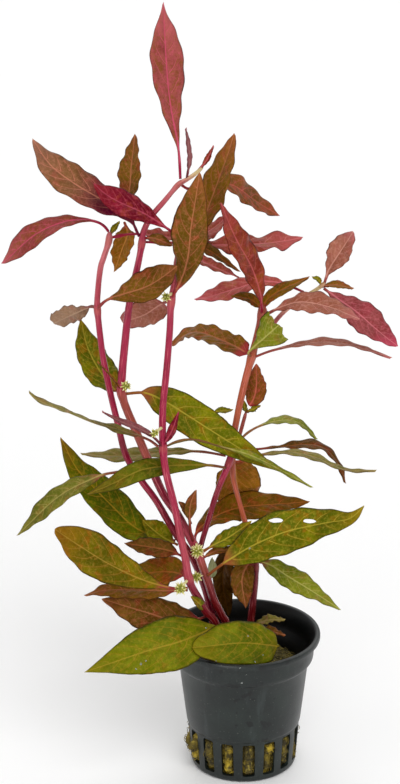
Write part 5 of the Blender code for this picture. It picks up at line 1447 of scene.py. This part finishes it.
@dataclass
class WoolPlug:
    """Plug of mineral wool, lumpy on top, pressing out through the pot's slots."""

    pot: NetPot
    top: float = WOOL_TOP
    gap: float = 0.35
    bulge: float = 3.5
    lump: float = 1.1
    sides: int = 160
    rungs: int = 64
    top_rings: int = 16
    fibre_density: float = 420000.0
    fibre_length: float = 2.6

    def radius(self, height: float) -> float:
        """Radius of the plug against the pot's wall, closed in towards its top."""
        pot = self.pot
        if height < pot.waist:
            share = (height - pot.floor) / (pot.waist - pot.floor)
            inner = (pot.foot_radius - 0.3) * (1 - share) + (pot.waist_radius - pot.wall - 0.6) * share
        else:
            share = (height - pot.waist) / (pot.collar_foot - pot.waist)
            inner = (pot.waist_radius - pot.wall) * (1 - share) + (pot.body_radius - pot.wall) * share
        shoulder = max(0.0, (height - (self.top - 4.0)) / 4.0)
        return (inner - self.gap - 0.4) * math.sqrt(max(0.0, 1 - 0.25 * shoulder ** 2))

    def push(self, angle: float, height: float) -> float:
        """How far the wool presses outwards into a slot, in mm."""
        pot = self.pot
        pitch = math.tau / pot.slot_count
        aside = abs((angle - pot.slot_turn + pitch / 2) % pitch - pitch / 2) * pot.waist_radius
        number = round((angle - pot.slot_turn) / pitch) % pot.slot_count
        ragged = noise.noise(Vector((number * 3.1, height * 0.22, 0.5)))
        foot = pot.slot_foot + 0.4 + 2.2 * max(0.0, noise.noise(Vector((number * 2.3, aside, 4.0))))
        upright = smoothstep(foot, foot + 1.2, height)
        upright *= smoothstep(pot.slot_top - 0.2, pot.slot_top - 2.2, height)
        upright *= smoothstep(pot.slot_width / 2 - 0.1, 0.9, aside)
        return self.bulge * upright * (0.74 + 0.9 * ragged)

    def side_spot(self, number: int, outward: Vector, height: float) -> Vector:
        """Point of the plug's side at a height, in a numbered direction."""
        radius = self.radius(height) + self.push(math.tau * number / self.sides, height)
        rough = noise.noise(outward * 7.0 + Vector((0, 0, height * 0.5)))
        return outward * (radius + 0.7 * min(0.0, rough)) + Vector((0, 0, height))

    def top_spot(self, outward: Vector, reach: float) -> Vector:
        """Point of the plug's lumpy top at a reach from its middle."""
        rim = self.radius(self.top)
        spot = outward * reach + Vector((0, 0, self.top))
        lumps = 0.5 + self.lump * noise.noise(spot * 0.28) + 0.6 * noise.noise(spot * 0.9)
        spot.z += smoothstep(rim, rim - 4.0, reach) * lumps
        return spot

    def build(self, tree: bpy.types.NodeTree, material: bpy.types.Material) -> bpy.types.Object:
        """Makes the plug with its fibres.

        Args:
            tree: The fibres' Geometry Nodes tree.
            material: The wool's material.

        Returns:
            The plug's object.
        """
        foot = self.pot.floor + self.gap
        around = outwards(self.sides)
        rings = [[Vector((0.0, 0.0, foot))]]
        for rung in range(self.rungs + 1):
            height = foot + (self.top - foot) * rung / self.rungs
            rings.append([self.side_spot(number, outward, height) for number, outward in enumerate(around)])
        for ring in range(1, self.top_rings):
            reach = self.radius(self.top) * (1 - ring / self.top_rings)
            rings.append([self.top_spot(outward, reach) for outward in around])
        rings.append([Vector((0.0, 0.0, self.top + 0.4))])
        drawing = bmesh.new()
        close_rings(drawing, [[drawing.verts.new(spot * MM) for spot in ring] for ring in rings])
        values = {"Density": self.fibre_density, "Length": self.fibre_length * MM}
        return run_tree(drawn_object("wool_plug", drawing), tree, values, "wool", material)


class Droplet(NamedTuple):
    """Water drop where the picture shows one: its pixel and its radius in mm."""

    column: float
    row: float
    radius: float


# Pieces on which drops of water lie
DROP_CARRIERS = (
    "pot", "leaf_over_rim_blade", "leaf_front_foot_green_blade", "leaf_centre_low_holed_blade",
    "leaf_centre_foot_brown_blade",
)


@dataclass
class Water:
    """Drops left on the leaves and on the pot."""

    drops: tuple[Droplet, ...] = (
        Droplet(250, 548.5, 0.42), Droplet(213, 616.5, 0.5), Droplet(209, 622, 0.34), Droplet(206, 628, 0.3),
        Droplet(227, 622, 0.3), Droplet(141, 664, 0.42), Droplet(146, 661, 0.3), Droplet(136, 669, 0.3),
        Droplet(255, 662, 0.34), Droplet(263, 655, 0.26), Droplet(240, 668, 0.26), Droplet(248, 636, 0.3),
        Droplet(241.8, 682.8, 0.34), Droplet(212.5, 661.5, 0.3), Droplet(216, 661, 0.24),
        Droplet(246, 674.5, 0.2),
    )
    flatness: float = 0.55

    def build(self, carriers: list[bpy.types.Object], material: bpy.types.Material) -> bpy.types.Object:
        """Makes the drops, each lying on the first surface that is seen at its pixel.

        Args:
            carriers: The pieces on which drops lie.
            material: The water's material.

        Returns:
            One object with every drop.
        """
        surfaces = [BVHTree.FromObject(piece, bpy.context.evaluated_depsgraph_get()) for piece in carriers]
        eye = (VIEW_AIM + TO_VIEWER * VIEW_DISTANCE) * MM
        drawing = bmesh.new()
        for drop in self.drops:
            line = (place(Spot(drop.column, drop.row, 0.0)) * MM - eye).normalized()
            hits = [surface.ray_cast(eye, line) for surface in surfaces]
            hits = [hit for hit in hits if hit[0] is not None]
            if not hits:
                continue
            point, normal, _, _ = min(hits, key=lambda hit: hit[3])
            if normal.dot(line) > 0:
                normal = -normal
            size = drop.radius * MM
            verts = bmesh.ops.create_icosphere(drawing, subdivisions=3, radius=size)["verts"]
            bmesh.ops.scale(drawing, vec=(1.0, 1.0, self.flatness), verts=verts)
            turn = normal.to_track_quat("Z", "Y").to_matrix()
            bmesh.ops.rotate(drawing, cent=Vector(), matrix=turn, verts=verts)
            bmesh.ops.translate(drawing, vec=point + normal * size * self.flatness * 0.4, verts=verts)
        made = drawn_object("water_drops", drawing, [material])
        made.data.shade_smooth()
        return made


def leaf_finish(name: str, *values: tuple[int, int, int] | float) -> LeafFinish:
    """Leaf finish from its values in the order of its fields, with display colours."""
    return LeafFinish(name, *(tint(*value) if isinstance(value, tuple) else value for value in values))


PINK_UNDER = leaf_finish("pink_underside", (154, 108, 84), (122, 74, 56), (162, 92, 74), (196, 136, 118),
    (150, 56, 66), (150, 112, 86), (104, 56, 46), 0.55, 0.35, 0.55)
TAN_UNDER = leaf_finish("tan_underside", (156, 122, 94), (128, 94, 70), (160, 104, 84), (190, 156, 128),
    (130, 70, 66), (152, 118, 92), (108, 74, 56), 0.5, 0.35, 0.55)
PALE_UNDER = leaf_finish("pale_underside", (132, 118, 58), (106, 92, 34), (150, 104, 70), (178, 150, 98),
    (140, 62, 58), (126, 108, 54), (84, 62, 28), 0.6, 0.35, 0.55)
GREEN = leaf_finish("green_lamina", (122, 122, 0), (78, 86, 0), (140, 92, 8), (186, 166, 56), (138, 70, 40),
    (136, 104, 10), (66, 52, 4), 0.55, 0.4, 0.46)
GREEN_DEEP = leaf_finish("deep_green_lamina", (96, 106, 0), (62, 76, 0), (120, 84, 2), (180, 138, 36),
    (132, 66, 38), (112, 70, 10), (58, 44, 4), 0.55, 0.35, 0.44)
LIME = leaf_finish("lime_lamina", (126, 130, 26), (92, 104, 8), (140, 112, 40), (190, 184, 100),
    (146, 90, 62), (122, 124, 40), (70, 66, 16), 0.6, 0.35, 0.46)
OLIVE = leaf_finish("olive_lamina", (126, 88, 14), (92, 66, 4), (150, 70, 42), (194, 118, 84),
    (156, 46, 54), (144, 80, 40), (78, 34, 12), 0.55, 0.36, 0.46)
BRONZE = leaf_finish("bronze_lamina", (120, 88, 0), (86, 62, 0), (138, 52, 14), (182, 104, 50),
    (146, 38, 40), (112, 64, 6), (64, 28, 6), 0.55, 0.45, 0.48)
RUSSET = leaf_finish("russet_lamina", (142, 84, 26), (102, 64, 8), (162, 56, 44), (210, 104, 88),
    (162, 44, 56), (154, 74, 46), (82, 34, 18), 0.6, 0.5, 0.48)
WINE = leaf_finish("wine_lamina", (150, 60, 36), (116, 38, 22), (142, 76, 16), (206, 98, 100),
    (156, 26, 54), (166, 62, 66), (86, 20, 18), 0.6, 0.45, 0.46)
ROSE = leaf_finish("rose_lamina", (170, 80, 66), (136, 52, 38), (144, 86, 28), (220, 122, 124),
    (166, 36, 64), (182, 86, 88), (104, 34, 36), 0.6, 0.45, 0.48)
BLUSH = leaf_finish("blush_lamina", (178, 114, 92), (148, 84, 62), (164, 88, 76), (220, 158, 140),
    (160, 76, 70), (176, 92, 96), (112, 58, 46), 0.6, 0.4, 0.5)
MAGENTA = leaf_finish("magenta_lamina", (146, 24, 48), (102, 4, 26), (148, 56, 36), (198, 84, 104),
    (144, 4, 50), (142, 36, 42), (80, 6, 20), 0.55, 0.4, 0.46)
GREYGREEN = leaf_finish("grey_green_lamina", (126, 118, 50), (96, 92, 26), (146, 104, 70), (180, 156, 100),
    (140, 70, 62), (128, 112, 62), (74, 54, 28), 0.5, 0.35, 0.48)
DARK_BROWN = leaf_finish("dark_brown_lamina", (94, 56, 4), (60, 34, 0), (86, 64, 4), (112, 72, 24),
    (84, 30, 14), (66, 44, 4), (38, 18, 2), 0.5, 0.35, 0.5)
MOSS = leaf_finish("moss_lamina", (112, 110, 36), (80, 84, 16), (126, 94, 40), (172, 158, 88),
    (136, 74, 56), (114, 106, 40), (66, 56, 16), 0.55, 0.35, 0.46)
RIM_GREEN = leaf_finish("rim_green_lamina", (108, 112, 0), (72, 84, 0), (122, 96, 8), (172, 138, 44),
    (110, 104, 14), (114, 106, 8), (78, 58, 8), 0.45, 0.25, 0.44)
FOREST = leaf_finish("forest_lamina", (88, 92, 4), (58, 66, 0), (104, 76, 8), (150, 124, 44), (124, 62, 40),
    (100, 72, 14), (50, 40, 4), 0.5, 0.35, 0.44)
OLIVE_GREEN = leaf_finish("olive_green_lamina", (120, 106, 0), (82, 78, 0), (144, 80, 12), (182, 144, 58),
    (150, 46, 58), (138, 88, 14), (66, 46, 4), 0.5, 0.42, 0.46)
UMBER = leaf_finish("umber_lamina", (112, 78, 14), (80, 56, 2), (132, 54, 30), (184, 112, 78),
    (144, 44, 50), (122, 66, 34), (66, 30, 12), 0.6, 0.42, 0.46)
# Amber finish brighter than the leaf's own colour: painted light on leaves that other leaves shade.
HONEY_WITH_PAINTED_LIGHT = leaf_finish("honey_lamina", (170, 114, 24), (132, 88, 6), (168, 78, 30), (214, 144, 72),
    (160, 62, 44), (150, 96, 22), (90, 48, 12), 0.55, 0.4, 0.48)
PEAT = leaf_finish("peat_lamina", (82, 56, 6), (56, 38, 0), (104, 36, 18), (152, 88, 50), (128, 34, 38),
    (92, 46, 16), (46, 22, 6), 0.55, 0.42, 0.48)
CROWN = leaf_finish("crown_lamina", (162, 80, 74), (126, 54, 44), (132, 80, 30), (206, 80, 110),
    (160, 28, 64), (184, 92, 94), (92, 40, 36), 0.7, 0.62, 0.46)
# Rose finish brighter than the leaf's own colour: painted light on a leaf that the lights leave dark.
CORAL_WITH_PAINTED_LIGHT = leaf_finish("coral_lamina", (206, 106, 100), (170, 76, 68), (176, 104, 66), (236, 130, 136),
    (140, 40, 52), (222, 96, 112), (112, 44, 44), 0.6, 0.4, 0.46)
FUCHSIA = leaf_finish("fuchsia_lamina", (152, 74, 74), (124, 48, 46), (152, 52, 62), (220, 122, 130),
    (150, 70, 60), (184, 60, 88), (104, 34, 40), 0.6, 0.45, 0.46)
# Olive leaf whose purple base colour, spread over most of its length, is a painted shadow cast by the
# magenta leaf that lies over it.
OLIVE_WITH_PAINTED_SHADOW = leaf_finish("dusk_lamina", (128, 86, 50), (98, 64, 28), (150, 78, 58), (208, 132, 106), (106, 2, 50),
    (160, 108, 88), (88, 40, 30), 0.6, 0.42, 0.46, 0.84)
MAUVE = leaf_finish("mauve_lamina", (146, 88, 92), (112, 58, 62), (136, 62, 62), (184, 128, 124),
    (128, 50, 60), (140, 76, 80), (84, 38, 44), 0.5, 0.35, 0.5)
BUD = leaf_finish("bud_lamina", (164, 168, 122), (132, 140, 92), (152, 142, 104), (196, 196, 156),
    (140, 92, 78), (166, 168, 126), (118, 112, 78), 0.4, 0.3, 0.5)

class Look(NamedTuple):
    """Finish of a leaf's upper face and of its underside."""

    top: LeafFinish
    under: LeafFinish


LOOK_OF_TONE: dict[Tone, Look] = {
    Tone.GREEN: Look(GREEN, PALE_UNDER),
    Tone.OLIVE: Look(OLIVE, PALE_UNDER),
    Tone.BROWN: Look(BRONZE, PINK_UNDER),
    Tone.RED: Look(WINE, PINK_UNDER),
    Tone.PINK: Look(ROSE, PINK_UNDER),
    Tone.CRIMSON: Look(MAGENTA, PINK_UNDER),
    Tone.SALMON: Look(BLUSH, BLUSH),
}

# Leaves and sprigs whose faces differ from the others of their tone
SPECIAL_LOOKS: dict[Look, str] = {
    Look(RIM_GREEN, PALE_UNDER): "leaf_over_rim leaf_front_foot_green",
    Look(GREEN_DEEP, PALE_UNDER): "leaf_left_foot",
    Look(MOSS, PALE_UNDER): "leaf_left_low",
    Look(FOREST, PALE_UNDER): "leaf_right_mid_low",
    Look(LIME, PALE_UNDER): "leaf_right_torn leaf_rear_low_right",
    Look(LIME, LIME): "leaf_front_mid_right leaf_right_mid_arched",
    Look(GREYGREEN, PALE_UNDER): "leaf_front_mid_left leaf_right_mid_green leaf_right_mid_left"
    " stem_rear_sprig_2",
    Look(PEAT, PINK_UNDER): "leaf_right_mid_dark",
    Look(PEAT, PALE_UNDER): "leaf_front_low_brown",
    Look(UMBER, PALE_UNDER): "leaf_rear_hanging_olive leaf_left_tip_up leaf_left_mid"
    " stem_centre_sprig_7 stem_centre_sprig_8 stem_rear_sprig_3",
    Look(UMBER, PINK_UNDER): "leaf_centre_foot_brown",
    Look(DARK_BROWN, DARK_BROWN): "leaf_rear_hanging_dark",
    Look(HONEY_WITH_PAINTED_LIGHT, PALE_UNDER): "leaf_rear_mid leaf_left_tip_down",
    Look(RUSSET, PINK_UNDER): "leaf_rear_top leaf_centre_crown_right",
    Look(OLIVE, PINK_UNDER): "leaf_front_low_under",
    Look(OLIVE_GREEN, PALE_UNDER): "leaf_front_low_broad",
    Look(MAGENTA, PINK_UNDER): "leaf_front_top_left",
    Look(TAN_UNDER, TAN_UNDER): "leaf_left_mid_small",
    Look(BLUSH, PINK_UNDER): "leaf_right_upper_right leaf_right_top_right leaf_shoot_tip"
    " leaf_front_upper_left",
    Look(CROWN, PINK_UNDER): "leaf_left_upper leaf_centre_crown",
    Look(OLIVE_WITH_PAINTED_SHADOW, PINK_UNDER): "leaf_centre_upper_left",
    Look(CORAL_WITH_PAINTED_LIGHT, PINK_UNDER): "leaf_shoot_left",
    Look(FUCHSIA, PINK_UNDER): "leaf_shoot_right",
    Look(BUD, BUD): "stem_centre_sprig_6",
    Look(MAUVE, MAUVE): "stem_front_sprig_0 stem_centre_sprig_0",
}
LOOK_OF_LEAF = {name: look for look, names in SPECIAL_LOOKS.items() for name in names.split()}

# The leaf that the picture shows with holes, and the place of its midrib where they are
HOLED_LEAF = "leaf_centre_low_holed"
HOLED_SPOT = 4
LEAF_HOLES = (Hole(276.5, 520.5, 7.4, 2.1, -0.04), Hole(309.0, 520.7, 6.6, 1.9, 0.02))


@dataclass
class Plant:
    """All stems, leaves and flower heads, each riding on the pot's body."""

    sprig_veins: int = 5

    @staticmethod
    def build_blade(key: str, blade: LeafBlade) -> bpy.types.Object:
        """Makes a leaf in the look that its key or its tone has."""
        look = LOOK_OF_LEAF.get(key, LOOK_OF_TONE[blade.leaf.tone])
        blade.foot_reach = look.top.foot_reach
        return blade.build(leaf_material(look.top), leaf_material(look.under))

    def build_stems(self) -> list[list[Vector]]:
        """Makes every stem with its sprigs.

        Returns:
            The routes of the stems.
        """
        tree = stem_tree()
        material = stem_material(StemFinish())
        routes = []
        for number, (name, stem) in enumerate(STEMS.items()):
            tube = StemTube(f"{name}_skin", stem, STEM_ZONES[name], number)
            routes.append(tube.route())
            settle(tube.build(tree, material), name)
            for index, sprig in enumerate(SPRIGS.get(name, ())):
                key = f"{name}_sprig_{index}"
                blade = LeafBlade(key, sprig, number * 10 + index, 0.0, self.sprig_veins)
                settle(self.build_blade(key, blade), name)
        return routes

    def build_leaves(self) -> None:
        """Makes every leaf."""
        for number, (name, leaf) in enumerate(LEAVES.items()):
            piece = self.build_blade(name, LeafBlade(f"{name}_blade", leaf, number + 3))
            if name == HOLED_LEAF:
                piece = pierce(piece, leaf.route[HOLED_SPOT].depth, LEAF_HOLES)
            settle(piece, name)

    @staticmethod
    def build_flowers(routes: list[list[Vector]]) -> None:
        """Makes every flower head."""
        tree = flower_tree()
        material = flower_material()
        for number, (name, flower) in enumerate(FLOWERS.items()):
            piece = FlowerHead(f"{name}_tepals", flower, number + 5).build(tree, material, routes)
            settle(piece, name)


def settle(piece: bpy.types.Object, node: str) -> None:
    """Makes a finished piece ride on the body, in place of its solid."""
    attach(piece, "root")
    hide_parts(node)
    LOG.info("%s: %d faces", piece.name, len(piece.data.polygons))


class Light(NamedTuple):
    """Soft even light from far away: where it stands, the angle that it fills and its power."""

    name: str
    source: tuple[float, float, float]
    spread: float
    power: float


@dataclass
class Studio:
    """Pale floor, soft lights and the camera of the photograph."""

    floor_tone: Colour = (0.97, 0.97, 0.97)
    floor_size: float = 6.0
    world_strength: float = 0.42
    lights: tuple[Light, ...] = (
        Light("key", (0.35, -0.9, 1.0), 40.0, 1.42),
        Light("fill", (-0.9, -1.0, 0.7), 80.0, 0.35),
        Light("strip", (-0.4, -1.0, 0.06), 22.0, 0.8),
        Light("back", (0.1, 1.0, 1.3), 60.0, 0.95),
    )

    @staticmethod
    def aimed(name: str, data: bpy.types.ID, source: Vector) -> bpy.types.Object:
        """Light or camera that looks from a direction towards the middle."""
        made = bpy.data.objects.new(name, data)
        made.rotation_euler = (-source).to_track_quat("-Z", "Y").to_euler()
        bpy.context.collection.objects.link(made)
        return made

    def build(self) -> None:
        """Makes the floor, the lights and the camera."""
        drawing = bmesh.new()
        bmesh.ops.create_grid(drawing, x_segments=1, y_segments=1, size=self.floor_size)
        drawn_object("floor", drawing, [ShaderBuild("floor").finish(self.floor_tone, 0.7)])
        scene = bpy.context.scene
        scene.view_settings.view_transform = "Standard"
        scene.world = bpy.data.worlds.new("studio")
        scene.world.use_nodes = True
        background = scene.world.node_tree.nodes["Background"]
        background.inputs[0].default_value = (1.0, 1.0, 1.0, 1.0)
        background.inputs[1].default_value = self.world_strength
        for light in self.lights:
            data = bpy.data.lights.new(light.name, "SUN")
            data.angle = math.radians(light.spread)
            data.energy = light.power
            self.aimed(light.name, data, Vector(light.source))
        self.build_camera()

    def build_camera(self) -> None:
        """Makes the camera at the distance, height and aim of the photograph."""
        data = bpy.data.cameras.new("camera")
        data.sensor_fit = "VERTICAL"
        data.sensor_height = SENSOR_HEIGHT
        data.lens = VIEW_FOCAL_LENGTH / PICTURE_HEIGHT * SENSOR_HEIGHT
        data.shift_x = (PICTURE_WIDTH / 2 - VIEW_COLUMN) / PICTURE_HEIGHT
        data.shift_y = (VIEW_ROW - PICTURE_HEIGHT / 2) / PICTURE_HEIGHT
        data.clip_start = 0.05
        camera = self.aimed("camera", data, TO_VIEWER)
        camera.location = (VIEW_AIM + TO_VIEWER * VIEW_DISTANCE) * MM
        bpy.context.scene.camera = camera


def main() -> None:
    """Builds every piece in order."""
    logging.basicConfig(level=logging.INFO, format="%(message)s")
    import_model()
    Studio().build()
    pot = NetPot()
    settle(pot.build(pot_material()), "net_pot")
    settle(WoolPlug(pot).build(fibre_tree(), wool_material()), "mineral_wool")
    plant = Plant()
    routes = plant.build_stems()
    plant.build_leaves()
    plant.build_flowers(routes)
    water = Water().build([bpy.data.objects[name] for name in DROP_CARRIERS], water_material())
    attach(water, "root")
    LOG.info("all pieces built")


if __name__ == "__main__":
    main()
